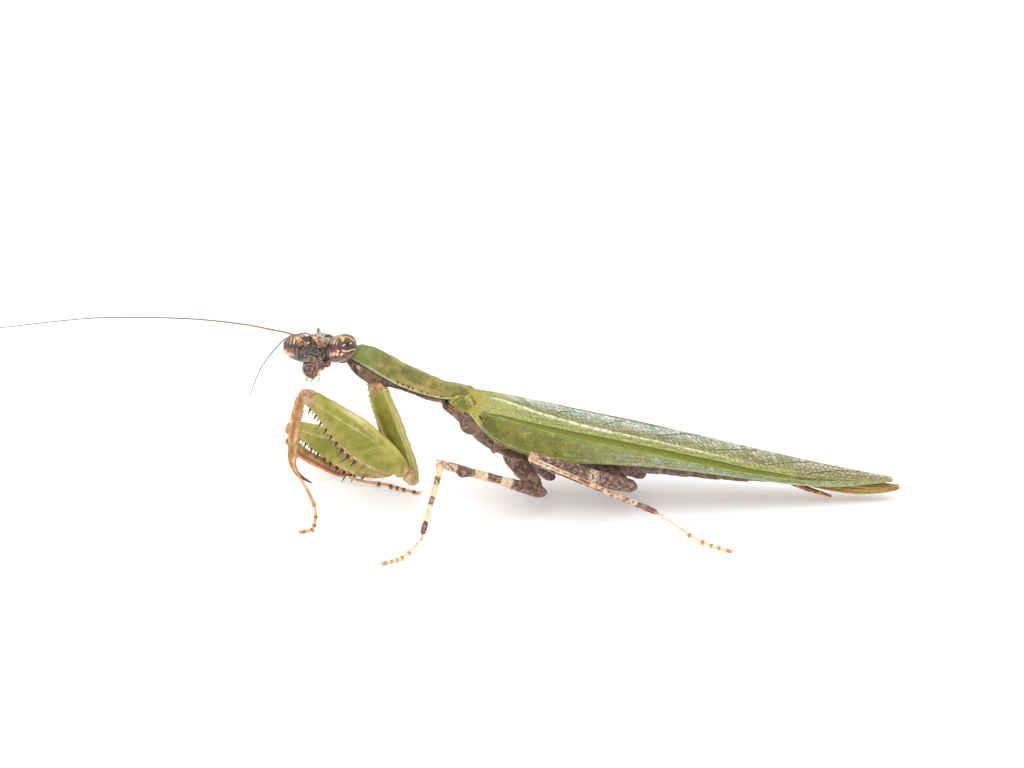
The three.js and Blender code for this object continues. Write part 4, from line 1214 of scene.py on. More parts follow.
# Plates of the face: corners across and up, and the y of the plate's front at z = 0 with its slope
frontal_plate = [(-0.95, 0.5), (-0.45, 0.8), (0.3, 0.92), (1.02, 0.68), (1.18, 0.12), (1.02, -0.2),
                 (0.25, -0.02), (-0.5, -0.06), (-1.0, 0.08)]
clypeus = [(-0.62, -0.16), (0.2, -0.12), (0.92, -0.34), (0.62, -0.88), (-0.1, -0.8), (-0.86, -0.88),
           (-0.74, -0.55)]
labrum = [(-0.86, -1.0), (-0.92, -1.4), (-0.86, -1.8), (-0.7, -2.18), (-0.42, -2.44), (-0.1, -2.2),
          (0.24, -1.87), (0.44, -1.5), (0.56, -0.98), (-0.1, -0.9)]
cheek = [(0.72, -1.0), (1.15, -0.72), (1.55, -1.12), (1.3, -1.5), (0.72, -1.95), (0.42, -1.9)]
face_plates = [(frontal_plate, -1.78, 0.3), (clypeus, -1.88, 0.2), (labrum, -1.93, 0.1),
               (cheek, -1.5, 0.15)]

BULGE = (1.36, -1.4, 0.95)      # the brown dome between the left feeler and the left eye

# Root and end of the first segment of each feeler, in the mantis's frame
SCAPES = {"left": ((-15.25, -3.0, 17.98), (-15.62, -2.9, 18.36)),
          "right": ((-16.93, -2.0, 17.68), (-17.36, -1.9, 17.93))}

# Directions in an eye's own frame: x outwards along its long axis, y back, z up
RING_AXIS = unit(np.array((0.93, -0.27, -0.2)))
BELT_POLE = unit(np.array((0.545, 0.42, 0.725)))
PUPIL = unit(np.array((0.88, -0.46, -0.08)))
CAP_POLE = unit(np.array((0.93, -0.25, -0.05)))
CUP_POLE = (0.73, -0.62, 0.275)
yellow_loop = [
    [(0.76, -0.56, 0.33), (0.74, -0.34, 0.58), (0.85, -0.2, 0.5), (0.91, -0.12, 0.41), (0.96, -0.08, 0.25),
     (1.0, -0.02, 0.08), (0.99, 0.11, -0.08)],
    [(0.58, -0.74, -0.34), (0.63, -0.62, -0.48), (0.68, -0.5, -0.54), (0.73, -0.37, -0.57),
     (0.78, -0.15, -0.61), (0.73, 0.17, -0.67)],
]
yellow_patches = [[(0.62, -0.31, 0.72), (0.73, -0.45, 0.51), (0.78, -0.34, 0.53), (0.78, -0.49, 0.39)]]
# Lines of painted highlight low on the eye
painted_glint_lines = [
    [(0.4, -0.91, -0.15), (0.48, -0.85, -0.19), (0.57, -0.78, -0.24)],
    [(0.37, -0.78, -0.52), (0.47, -0.72, -0.51)], [(0.25, -0.93, -0.3), (0.19, -0.9, -0.38)],
    [(0.12, -0.98, -0.15), (0.0, -0.97, -0.25)], [(-0.1, -0.99, -0.08), (-0.24, -0.94, -0.22)],
]
cream_dashes = [[(0.71, -0.7, 0.03), (0.79, -0.61, 0.0)], [(0.93, -0.33, -0.12), (0.97, -0.21, -0.13)]]
# A mark's lines, and how far from them it is still full and no longer seen
eye_drawing = {"yellow": (yellow_loop, 0.03, 0.06), "patch": (yellow_patches, 0.03, 0.09),
               "glow": (painted_glint_lines, 0.02, 0.135), "dash": (cream_dashes, 0.02, 0.07)}


def eye_stand(side):
    """Carries an eye's own frame, x outwards for the left one, to the head's."""
    way = -SIDES_OF_BODY[side]
    x, y, z = OVAL_PLACE
    return Matrix.Translation((way * x, y, z)) @ Matrix.Rotation(math.radians(-way * OVAL_TILT), 4, "Y")


def eye_cup(side):
    """The pale cup that an eye sits in, open outwards and to the front."""
    x, y, z = CUP_POLE
    pole = (-SIDES_OF_BODY[side] * x, y, z)
    return ball(OVAL_SIZE * 1.05, (0, 0, 0), 40, 64, pole, 0.43).moved(eye_stand(side))


def plate(corners, front, slope):
    """A plate of the face with a sloping front that swells towards its middle."""
    outline = np.array(corners)
    middle = outline.mean(axis=0)
    rings = []
    for size, swell in ((1.0, 0.35), (1.0, 0.0), (0.9, -0.05), (0.6, -0.09)):
        x, z = (middle + size * (outline - middle)).T
        rings.append(np.stack([x, front + slope * z + swell, z], axis=-1))
    caps = [(middle[0], front + slope * middle[1] + depth, middle[1]) for depth in (0.35, -0.1)]
    return closed_rings(np.array(rings), *caps)


def head_lumps():
    lumps = [limb_skin(Limb(between((2.3, 0, 0.35), (-2.3, 0, -0.1), crown_rows)), 40, 40),
        limb_skin(Limb(face_stations, (1, 0, 0)), 40, 40)]
    lumps += [plate(*each) for each in face_plates]
    # the horn, and the ridges of the vertex behind it
    lumps += [claw([(0.32, -0.1, 0.9), (0.3, -0.02, 1.4), (0.24, 0.0, 2.0)], [0.36, 0.24, 0.17]),
        ball((0.6, 0.5, 0.4), (0.15, -0.45, 1.12)),
        claw([(0.4, 0.0, 1.25), (1.0, 0.0, 1.28), (1.6, 0.0, 1.05)], [0.3, 0.3, 0.25])]
    for side in (1, -1):
        lumps += [
            ball((0.26, 0.26, 0.22), (side * 1.08, -0.8, 1.36)),
            ball((0.4, 0.4, 0.4), (side * 0.85, -1.3, 1.1)),
            ball((0.36, 0.42, 0.66), (side * 0.72 - 0.12, -1.5, -1.42)),
            ball((0.24, 0.24, 0.26), (side * 0.92 - 0.1, -1.62, -0.62)),
            claw([(side * 1.1, -1.55, 0.1), (side * 1.12, -1.5, -0.6), (side * 0.95, -1.5, -1.3)],
                 [0.1, 0.13, 0.1]),
            # the cheek that runs out under each eye
            ball((1.0, 0.7, 0.5), (side * 1.8, -0.15, -0.9)),
            ball((0.5, 0.5, 0.45), (side * 1.1, -0.85, -1.3))]
    lumps += [ball((0.5, 0.5, 0.5), BULGE), ball((0.36, 0.36, 0.36), (-1.2, -1.25, 0.85)),
        ball((0.3, 0.3, 0.5), (-0.28, -1.5, -2.0))]
    return lumps + [eye_cup("left"), eye_cup("right")]


def near_outlines(points):
    """How far each point is, seen from the front, from the nearest edge of a face plate."""
    spots = []
    for corners, _, _ in face_plates:
        for start, end in zip(corners, corners[1:] + corners[:1]):
            start, end = np.array(start), np.array(end)
            count = 2 + int(np.linalg.norm(end - start) / 0.03)
            spots += [start + (end - start) * share for share in np.linspace(0, 1, count)]
    tree = search_tree(spots)
    return np.array([tree.find((x, z, 0))[2] for x, _, z in points])


def head_piece():
    skin = one_skin(head_lumps(), 0.042, 2)
    x, y, z = skin.points.T
    front = ease(-y - 0.25 * z * (z > 0), 1.15, 1.45)
    edge = near_outlines(skin.points)
    crease = front * crest(edge, 0.0, 0.055)
    midline = crest(x, 0.02, 0.06) * band(y, -1.3, -0.6, 0.2) * ease(z, 0.6, 1.0)
    furrows = np.sin(9 * x + 3 * np.sin(7 * z)) * np.sin(11 * z + 2 * np.sin(6 * y))
    pocks = np.sin(23 * x + 5 * np.sin(13 * z)) * np.sin(21 * z + 4 * np.sin(17 * y + 9 * x))
    lift = 0.014 * furrows + 0.012 * pocks - 0.035 * crease - 0.03 * midline
    dome = np.linalg.norm(skin.points - np.array(BULGE), axis=1)
    skin.raise_by(lift * ease(dome, 0.4, 0.6))
    rims = []
    for side in SIDES_OF_BODY:
        stand = np.array(eye_stand(side).inverted())
        own = skin.points @ stand[:3, :3].T + stand[:3, 3]
        rims.append(np.linalg.norm(own / OVAL_SIZE, axis=1))
    rim = crest(np.minimum(*rims), 1.03, 0.05) * ease(np.abs(x), 1.2, 1.8)
    skin.marks["pale"] = rim * np.maximum(ease(-z, -0.1, 0.3), 0.6 * ease(z, 0.5, 0.9))
    # light: painted highlights on the brown dome and on the vertex by the side ocellus, and a lighter line
    # alongside the face plates' edges
    skin.marks["light"] = most(front * crest(edge, 0.075, 0.05) * 0.9,
        skin.near(((BULGE[0] + 0.16, BULGE[1] - 0.15, BULGE[2] + 0.42), 0.36),
            ((BULGE[0] - 0.36, BULGE[1] - 0.25, BULGE[2] + 0.2), 0.22)),
        skin.near(((1.08, -0.95, 1.5), 0.26)) * 0.7)
    seams = front * band(x + 0.12 * z, 0.4, 0.66, 0.06) * band(z, -2.0, -0.2, 0.15)
    skin.marks["brown"] = most(1 - ease(dome, 0.5, 0.58), 0.8 * seams,
        skin.near(((-1.2, -1.5, 0.85), 0.3), ((1.9, -0.5, -1.2), 0.9), ((2.3, -0.3, -1.1), 0.8),
            ((1.1, -1.1, -1.5), 0.6), ((-1.5, -0.6, -1.4), 0.8), ((-0.6, -1.7, 1.0), 0.35),
            ((0.5, -1.8, -1.9), 0.45)))
    skin.marks["rose"] = front * ease(-z, 0.1, 0.7)
    # olive: olive grey on the top of the head, partly a painted highlight on the vertex
    skin.marks["olive"] = np.maximum(ease(z - 0.2 * np.abs(x), 1.0, 1.3) * ease(y, -0.95, -0.6),
        skin.near(((1.5, -0.8, 1.2), 0.55), ((0.75, -0.7, 1.45), 0.35), ((1.75, -1.0, 0.8), 0.4)))
    # dark: painted shade in the creases along the face plates' edges and round the foot of the brown dome,
    # and dark spots by the middle ocellus and on the horn
    skin.marks["dark"] = most(0.45 * crease, skin.near(((0.1, -1.62, 0.9), 0.3)) * 0.6,
        crest(dome, 0.63, 0.09) * front, skin.near(((0.28, -0.1, 1.75), 0.3)) * crest(x, 0.3, 0.12))
    return piece_of("head_skin", skin.moved(HEAD), head_finish(), "head_cuticle", "head")


def near_lines(ways, lines):
    """How far each direction is from the nearest of some lines drawn over a ball."""
    spots = np.vstack([Line(line).at(np.linspace(0, 1, 30)) for line in lines])
    return np.linalg.norm(ways[:, None, :] - unit(spots)[None, :, :], axis=2).min(axis=1)


def eye_piece(side, material):
    eye = ball(OVAL_SIZE, (0, 0, 0), 110, 150, (-SIDES_OF_BODY[side], 0, 0))
    way = eye.points / OVAL_SIZE * (-SIDES_OF_BODY[side], 1, 1)
    over = way @ BELT_POLE
    reach = np.linalg.norm(way - PUPIL, axis=1)
    eye.marks["ring"] = np.arccos(np.clip(way @ RING_AXIS, -1, 1)) / math.pi
    eye.marks["over"] = over
    eye.marks["pupil"] = 1 - ease(reach, 0.1, 0.17)
    eye.marks["belt"] = 0.95 * crest(over, 0.04, 0.22) ** 0.7
    for name, (lines, full, none) in eye_drawing.items():
        eye.marks[name] = 1 - ease(near_lines(way, lines), full, none)
    eye.marks["cap"] = (way @ CAP_POLE > 0.66) * ease(near_lines(way, yellow_loop), 0.05, 0.12)
    return piece_of(f"eye_ball_{side}", eye.moved(eye_stand(side)).moved(HEAD), material, "eye",
        f"eye_{side}")


def ocelli_piece():
    beads = [ball((0.13, 0.1, 0.12), (0.0, -1.72, 1.06)), ball((0.12, 0.12, 0.11), (1.08, -0.98, 1.5)),
        ball((0.12, 0.12, 0.11), (-1.08, -0.98, 1.5))]
    return piece_of("ocelli", joined(*beads).moved(HEAD), gem_finish(), "head_cuticle")


def palp(points, radii, pinches):
    """A palp, narrowed at its joints, which are given as shares of its length."""
    return claw(points, radii, 14, 44, lambda t, turn: -0.05 * sum(crest(t, at, 0.05) for at in pinches))


def mouth_piece():
    palps = [
        palp([(1.15, -1.45, -1.6), (0.75, -2.0, -1.98), (0.93, -2.05, -2.25), (0.7, -2.15, -2.8)],
            [0.13, 0.11, 0.11, 0.07], (0.36, 0.68)),
        palp([(-1.2, -1.6, -1.5), (-1.0, -2.05, -1.75), (-0.65, -2.3, -2.1), (-0.25, -2.4, -2.35)],
            [0.12, 0.1, 0.1, 0.06], (0.36, 0.68)),
        palp([(0.1, -1.75, -2.3), (0.05, -2.0, -2.6), (-0.15, -2.2, -2.85)], [0.1, 0.09, 0.06], (0.5,)),
        palp([(-0.6, -1.75, -2.3), (-0.7, -2.05, -2.55), (-0.62, -2.15, -2.8)], [0.1, 0.09, 0.06], (0.5,)),
    ]
    jaws = [
        ball((0.45, 0.38, 0.5), (-0.3, -1.65, -2.2)), ball((0.3, 0.3, 0.42), (0.22, -1.75, -2.05)),
        ball((0.28, 0.25, 0.42), (-0.75, -1.7, -2.0)),
    ]
    mouth = joined(*palps, *jaws)
    mouth.marks["brown"] = mouth.near(((1.15, -1.5, -1.6), 0.4), ((-0.3, -1.7, -2.2), 0.75),
        ((0.2, -1.75, -2.0), 0.6), ((-1.3, -1.6, -1.6), 0.3))
    mouth.marks["dark"] = mouth.near(((-0.15, -2.2, -2.85), 0.16), ((-0.62, -2.15, -2.8), 0.14))
    return piece_of("mouth_parts", mouth.moved(HEAD), mouth_finish(), "palp", "mouthparts")


def scapes_piece(material):
    """The stout first segments of both feelers, from each root to where the feeler starts."""
    parts = []
    for root, end in SCAPES.values():
        root, end = np.array(root), np.array(end)
        middle = (root + end) / 2
        parts.append(claw([root, middle, end], [0.17, 0.2, 0.15], 20, 20))
        parts.append(ball((0.14, 0.14, 0.14), end + 0.25 * (end - root)))
    return piece_of("feeler_roots", joined(*parts), material, "antenna")


def feeler_piece(side, points, thickness, material):
    """Many rings that grow slimmer and longer outwards, from the end of the scape."""
    end = np.array(SCAPES[side][1])
    line = Line([end, *points])
    reach = np.linalg.norm(np.diff(line.at(np.linspace(0, 1, 400)), axis=0), axis=1).sum()
    lengths = []
    while sum(lengths) < reach - 0.3:
        lengths.append(0.26 + 0.14 * min(sum(lengths) / 12, 1))
    share = np.cumsum(lengths) / reach
    radii = thickness * np.interp(share, [0, 0.3, 0.6, 1.0], [1.0, 0.85, 0.65, 0.45])
    radii = radii * (1 + 0.5 * np.exp(-share * reach / 0.4))
    piece = joints(f"feeler_{side}", line, lengths, radii, material, Sides=10, Waist=0.25)
    return finished(piece, "antenna", f"antenna_{side}")


def head_pieces():
    head_piece()
    for side in SIDES_OF_BODY:
        eye_piece(side, eye_finish(f"eye_{side}_stripes"))
    ocelli_piece()
    mouth_piece()
    scapes_piece(scape_finish())
    feeler_piece("right", antenna_right, 0.085, feeler_finish())
    feeler_piece("left", antenna_left, 0.09, left_feeler_finish())


# ---- trunk ----

SHIELD_EDGE = 0.06          # depth of the shield's rim under its margin
dot_places = [-7.5, -7.0, -6.4, -6.0, -5.1, -4.5, -3.1]     # along x, of the shield's black dots


def shield_limb():
    return Limb([[x, 0, z, wide, crown, SHIELD_EDGE] for x, z, wide, crown, _ in shield_margin])


def shield_piece():
    limb = shield_limb()

    def fore_and_aft(t):
        return limb.centre(t)[..., 0]

    def from_margin(turn):
        return np.minimum(turn, 0.5 - turn)

    def near_margin(turn, low, high, soft=0.006):
        return band(from_margin(turn), low, high, soft) * (turn <= 0.5)

    def relief(t, turn):
        x = fore_and_aft(t)
        upper = ease(from_margin(turn), 0.02, 0.1)
        groove = crest(x, -9.5 + 1.6 * np.abs(turn - 0.25), 0.5) * upper
        keel = crest(turn, 0.25, 0.018) * band(x, -11.6, -1.5, 0.4)
        bosses = ripples(t, turn, 34, 4, 0.8) * upper
        rim = crest(from_margin(turn), 0.0, 0.03) * (turn < 0.5)
        return -0.055 * groove + 0.045 * keel + 0.03 * bosses + 0.05 * rim

    def marks(t, turn):
        x = fore_and_aft(t)
        to_dot = np.min([np.hypot(x - place, (from_margin(turn) - 0.022) * 11) for place in dot_places],
            axis=0)
        return {"fresh": band(x, -13, -9.9, 0.7),
            "tan": near_margin(turn, 0.035, 0.075, 0.02) * band(x, -7.6, -2.0, 0.7),
            # crown: a painted highlight along the top of the shield
            "crown": crest(turn, 0.25, 0.12) * band(x, -9.2, 0, 1.0),
            "pale": np.maximum(near_margin(turn, -0.1, 0.006),
                0.8 * near_margin(turn, -0.1, 0.021) * band(x, -10.5, -1.5, 0.7)),
            "dot": 1 - ease(to_dot, 0.075, 0.13)}

    shield = limb_skin(limb, 220, 320, relief, 0.25, marks)
    return piece_of("shield", shield, shield_finish(), "shield", "pronotum")


def shield_granules():
    """A fine row of teeth along either margin of the shield."""
    limb = shield_limb()
    t = np.linspace(0.04, 0.97, 74)
    roots, ways = [], []
    for turn in (0.003, 0.497):
        roots.append(limb.surface(t, turn, 0.0))
        ways.append(limb.surface(t, turn, 1.0) - limb.surface(t, turn, 0.0))
    lengths = 0.1 + 0.04 * np.sin(np.arange(2 * len(t)) * 2.4)
    piece = thorns("shield_teeth", np.vstack(roots), np.vstack(ways), lengths, 0.06, granule_finish(),
        Sides=8, Blunt=0.4)
    return finished(piece, "shield")


def wing_root_piece():
    """The small folded plates that fill the corner between the shield and either forewing."""
    plates = []
    for side in (-1, 1):
        plates += [ball((1.35, 0.5, 0.75), (-1.0, side * 1.2, 10.95), pole=(1, 0, 0.25)),
            ball((0.9, 0.55, 0.95), (-0.45, side * 1.4, 10.75), pole=(1, 0, 0)),
            ball((0.5, 0.4, 0.6), (-0.1, side * 1.5, 10.0), pole=(1, 0, 0)),
            claw([(-1.5, side * 1.3, 11.5), (-0.85, side * 1.82, 11.15), (-0.5, side * 1.98, 10.5)],
                [0.07, 0.1, 0.06]),
            claw([(-0.6, side * 1.5, 11.6), (-0.1, side * 1.85, 11.2), (0.1, side * 1.95, 10.6)],
                [0.1, 0.14, 0.1])]
    skin = one_skin(plates, 0.06, 3)
    x, _, z = skin.points.T
    skin.raise_by(0.012 * np.sin(9 * x + 4 * z + 2 * np.sin(3 * z)))
    skin.marks["gold"] = 0.8 * skin.near(((-0.5, -1.6, 11.5), 0.2), ((-0.2, -1.82, 11.3), 0.2),
        ((0.0, -1.92, 11.0), 0.2), ((0.1, -1.97, 10.7), 0.2), ((-1.6, -1.3, 11.6), 0.4),
        ((-0.5, -2.0, 10.0), 0.25))
    return piece_of("wing_roots", skin, wing_root_finish(), "shield")


# Plates of the side of the thorax, as half sizes and a place, and the folds between them
flank_plates = [
    ((1.1, 0.55, 1.5), (-0.2, 1.35, 8.9)), ((1.4, 0.7, 1.9), (2.6, 1.75, 7.6)),
    ((1.3, 0.6, 1.6), (5.6, 1.95, 6.2)), ((1.3, 0.6, 1.4), (9.0, 1.85, 5.4)),
]
flank_folds = [
    ([(0.9, 1.5, 10.2), (1.2, 2.05, 8.2), (2.2, 2.2, 5.9)], [0.3, 0.35, 0.25]),
    ([(5.0, 2.0, 8.1), (4.6, 2.5, 6.6), (5.2, 2.4, 4.9)], [0.25, 0.3, 0.2]),
    ([(8.6, 2.0, 7.2), (8.1, 2.4, 5.8), (8.9, 2.2, 4.3)], [0.22, 0.3, 0.2]),
]


def trunk_lumps():
    sternum = Limb([[x, 0, z - 0.3, wide * 0.85, 0.2, keel] for x, z, wide, _, keel in shield_margin[:8]])

    def neck_folds(t, turn):
        return 0.07 * np.sin(t * 26 + 2 * np.sin(12.6 * turn))

    lumps = [limb_skin(Limb(neck_stations), 60, 60, neck_folds), limb_skin(sternum, 48, 60),
        limb_skin(Limb(thorax_stations), 64, 70)]
    for leg in walking_legs.values():
        coxa = Limb(between(leg["hip"], leg["trochanter"], shrunk(coxa_rows)), (0, -1, 0))
        lumps.append(limb_skin(coxa, 36, 36, lambda t, turn: 0.06 * ripples(t, turn, 9, 3)))
        lumps.append(ball((0.5, 0.5, 0.5), leg["trochanter"]))
    for side in (-1, 1):
        lumps += [ball(size, (x, side * y, z), pole=(0, 1, 0)) for size, (x, y, z) in flank_plates]
        lumps += [claw([(x, side * y, z) for x, y, z in fold], radii) for fold, radii in flank_folds]
        lumps.append(ball((0.5, 0.42, 0.45), (6.6, side * 2.3, 4.8)))
    return lumps


def trunk_piece():
    skin = one_skin(trunk_lumps(), 0.095, 3)
    x, y, z = skin.points.T
    rough = np.sin(x * 3.1 + np.sin(y * 4.0) * 1.3) * np.sin(z * 3.7 + 1.1 * np.sin(x * 2.2))
    bark = np.sin(x * 8.3 + 2 * np.sin(z * 5.1)) * np.sin(z * 7.7 + 2 * np.sin(x * 4.9 + y * 3))
    skin.raise_by(0.025 * rough + 0.012 * bark)
    skin.marks["rust"] = 0.62 * skin.near(((-4.0, -1.2, 10.6), 1.0), ((0.4, -1.9, 8.6), 0.8),
        ((-2.0, -1.3, 10.2), 0.8), ((8.0, -2.3, 5.0), 0.8), ((-10, -1.2, 13.4), 1.2),
        ((6.4, -3.3, 3.0), 0.6), ((3.2, -2.4, 6.6), 0.8))
    # dark: darker on the near mid and hind coxae, and painted shade under the shield's overhang on the neck
    # and prosternum
    skin.marks["dark"] = 0.55 * skin.near(((2.8, -2.6, 4.6), 1.3), ((15, -3.2, 3.2), 0.9),
        ((-8.5, -1.5, 12.3), 1.0), ((4.9, -3.0, 4.6), 1.1), ((-11.8, -1.0, 14.2), 1.3),
        ((5.9, -3.4, 3.2), 0.9))
    skin.marks["green"] = 0.7 * skin.near(((-0.9, -1.5, 10.6), 0.9), ((-0.9, 1.5, 10.6), 0.9))
    folds = np.abs(np.sin(1.1 * x + 0.5 * z + 0.7 * np.sin(1.3 * z)))
    edges = 0.8 * (1 - ease(folds, 0.0, 0.1)) * band(x, 0.5, 9, 0.5) * ease(np.abs(y), 1.6, 2.1)
    skin.marks["pale"] = np.maximum(edges,
        0.7 * skin.near(((1.6, -2.2, 6.0), 0.3), ((-9.6, -2.0, 13.4), 0.35), ((-11.3, -1.1, 14.5), 0.3),
            ((5.2, -2.9, 6.4), 0.4), ((8.6, -2.6, 6.3), 0.3), ((-2.9, -1.4, 10.7), 0.3)))
    return piece_of("trunk", skin, trunk_finish(), "bark_cuticle", "neck", "prosternum", "pterothorax",
        *(f"{name}_coxa" for name in walking_legs))


segment_joints = [12.9, 15.9, 19.0, 22.0, 25.2, 28.0, 30.0]    # along x, of the abdomen


def abdomen_piece():
    limb = Limb(abdomen_stations)

    def across(t):
        """How far across its segment a share of the length is."""
        x = limb.centre(t)[..., 0]
        return np.interp(x, [11] + segment_joints + [32], np.arange(len(segment_joints) + 2)) % 1

    def relief(t, turn):
        lap = 0.09 * ease(across(t), 0.0, 0.9) - 0.1 * ease(across(t), 0.93, 1.0)
        pleat = -0.06 * crest(turn, 0.0, 0.03) - 0.06 * crest(turn, 0.5, 0.03)
        return lap + pleat + 0.02 * ripples(t, turn, 60, 5, 1.3)

    def marks(t, turn):
        return {"belly": 1.0, "rust": 0.5 * ease(across(t), 0.72, 0.9),
            "pale": 0.7 * crest(across(t), 0.99, 0.03)}

    belly = limb_skin(limb, 96, 260, relief, 0.4, marks)
    return piece_of("abdomen_plates", belly, trunk_finish(), "belly_cuticle", "abdomen")


def cercus_piece(side):
    way = SIDES_OF_BODY[side]
    line = Line(
        [[31.6, way * 0.45, 2.15], [33.2, way * 0.75, 1.6], [34.8, way * 0.95, 1.1],
            [36.0, way * 1.05, 0.75]])
    count = 14
    radii = 0.27 * np.sin(np.linspace(0.9, 2.75, count)) ** 0.8
    piece = joints(f"tail_feeler_{side}", line, np.full(count, 0.345), radii, cercus_finish(), Sides=14,
        Waist=0.12)
    return finished(piece, "cercus", f"cercus_{side}")


def trunk_pieces():
    shield_piece()
    wing_root_piece()
    shield_granules()
    trunk_piece()
    abdomen_piece()
    for side in SIDES_OF_BODY:
        cercus_piece(side)


# ---- wings ----

BLADE = 0.13                # thickness of a wing blade
COSTAL, BAND, DISC, TAIL = range(4)
TAIL_START = 32.5

# Lines along the forewing: places along x, and the share of the way from the free edge to the ridge
line_places = [0.6, 2.8, 6.8, 12, 14, 16.7, 20.8, 24.8, 29.9, 34, 38, 42]
band_foot = [0.36, 0.448, 0.427, 0.389, 0.381, 0.326, 0.285, 0.272, 0.3, 0.33, 0.36, 0.42]
band_head = [0.40, 0.52, 0.531, 0.54, 0.54, 0.51, 0.51, 0.548, 0.55, 0.52, 0.5, 0.5]
glossy_line = [0.86, 0.837, 0.735, 0.67, 0.661, 0.653, 0.644, 0.657, 0.674, 0.64, 0.62, 0.6]
dark_veins = [
    [(8.4, 0.828), (9.2, 0.9), (10.2, 0.96)],
    [(13.2, 0.8), (14.3, 0.908), (15.4, 0.975)],
    [(18.3, 0.774), (19.9, 0.883), (20.8, 0.937), (22.9, 0.985)],
    [(23.8, 0.732), (25.4, 0.82), (26.9, 0.895), (28.6, 0.95)],
    [(29.2, 0.67), (30.6, 0.76), (32.2, 0.86), (33.8, 0.93)],
    [(33.7, 0.615), (34.8, 0.7), (36, 0.77), (37.6, 0.87), (39.1, 0.95)],
]


def share_at(x, shares):
    return np.interp(x, line_places, shares)


class Wing:
    """A wing sheet with a flat map of it, in millimetres: along x, and up from the free edge."""

    def __init__(self, rows, side):
        self.sheet = Sheet(rows, side)
        self.side = side
        self.samples = np.linspace(0, 1, 400)
        self.along = self.sheet.shoulder.at(self.samples)[:, 0]
        across = self.sheet.surface(self.samples[:, None], np.linspace(0, 1, 30)[None, :])
        self.breadth = np.linalg.norm(np.diff(across, axis=1), axis=2).sum(axis=1)

    def map_place(self, s, q):
        x = np.interp(s, self.samples, self.along)
        return np.stack([x, q * np.interp(s, self.samples, self.breadth)], axis=-1)

    def share(self, x, height):
        """How far along and how far up the wing a place on the map is."""
        s = np.interp(x, self.along, self.samples)
        return s, height / np.interp(s, self.samples, self.breadth)

    def lifted(self, x, height, lift=0.01):
        """Places over the wing's outer face, from its map."""
        s, q = self.share(x, height)
        s, q = np.clip(s, 0, 1), np.clip(q, 0, 1)
        return self.sheet.surface(s, q) + lift * self.sheet.outward(s, q)

    def over(self, x, q, lift=0.01):
        """Places over the wing's outer face, a share q of the way up at each x."""
        s = np.interp(x, self.along, self.samples)
        return self.lifted(x, q * np.interp(s, self.samples, self.breadth), lift)

    def field(self, x, height):
        q = self.share(x, height)[1]
        foot = share_at(x, band_foot)
        field = np.where(q < foot, COSTAL, np.where(q < share_at(x, band_head), BAND, DISC))
        return np.where((x > TAIL_START) & (q > foot), TAIL, field)


class Net:
    """A net of cells over a wing's map, each about as long and wide as sizes says, with its
    length leaning by an angle from the wing's."""

    def __init__(self, wing, sizes, lean, jitter, seed):
        self.sizes = sizes
        turn = math.radians(lean)
        along, across = (math.cos(turn), math.sin(turn)), (-math.sin(turn), math.cos(turn))
        self.plane = np.stack([np.array(along) / sizes[0], np.array(across) / sizes[1]], axis=1)
        draw = np.random.default_rng(seed)
        reach = np.ptp(wing.along) / min(sizes) + 4
        row, column = np.meshgrid(np.arange(-reach, reach), np.arange(-reach, reach), indexing="ij")
        spots = np.stack([column + 0.5 * (row % 2), 0.87 * row], axis=-1).reshape(-1, 2)
        spots = spots + draw.uniform(-jitter, jitter, spots.shape)
        middle = np.array([np.mean(wing.along), 0]) @ self.plane
        places = (spots + middle) @ np.linalg.inv(self.plane)
        s, q = wing.share(*places.T)
        near = (s > 0) & (s < 1) & (q > -0.15) & (q < 1.15)
        self.seeds = places[near]
        self.lots = draw.random(len(self.seeds))
        self.tree = search_tree(self.seeds @ self.plane)

    def told(self, places):
        """For places on the map: the lot of the cell, how far they are from its walls and how
        far over its middle, in cells."""
        hits = [self.tree.find_n((*spot, 0), 2) for spot in places @ self.plane]
        number = np.array([hit[0][1] for hit in hits])
        gap = np.array([hit[1][2] - hit[0][2] for hit in hits]) / 2
        rise = (places[:, 1] - self.seeds[number][:, 1]) / max(self.sizes)
        return self.lots[number], gap, rise

    def walls(self, share=1.0):
        """The walls between its cells, from two places on the map to each. A share under 1
        leaves some out."""
        spots = self.seeds @ self.plane
        vertices, _, faces, *_ = delaunay_2d_cdt([Vector(spot) for spot in spots], [], [], 0, 1e-6)
        a, b, c = (np.array([tuple(vertices[face[corner]]) for face in faces]) for corner in range(3))
        ab, ac = b - a, c - a
        twice = 2 * (ab[:, 0] * ac[:, 1] - ab[:, 1] * ac[:, 0])
        long_b, long_c = (ab * ab).sum(axis=1), (ac * ac).sum(axis=1)
        centre = a + np.stack(
            [ac[:, 1] * long_b - ab[:, 1] * long_c, ab[:, 0] * long_c - ac[:, 0] * long_b],
            axis=-1) / twice[:, None]
        centre = centre @ np.linalg.inv(self.plane)
        sides = {}
        for number, face in enumerate(faces):
            for one, other in zip(face, face[1:] + face[:1]):
                sides.setdefault((min(one, other), max(one, other)), []).append(number)
        pairs = [pair for pair in sides.values() if len(pair) == 2]
        draw = np.random.default_rng(len(pairs))
        return [centre[pair] for pair in pairs if draw.random() < share]


def wing_nets(wing):
    return {COSTAL: Net(wing, (0.6, 0.42), 60, 0.25, 3), BAND: Net(wing, (1.5, 0.3), 0, 0.2, 5),
        DISC: Net(wing, (0.72, 0.36), -34, 0.2, 7), TAIL: Net(wing, (0.5, 0.31), -12, 0.24, 11)}


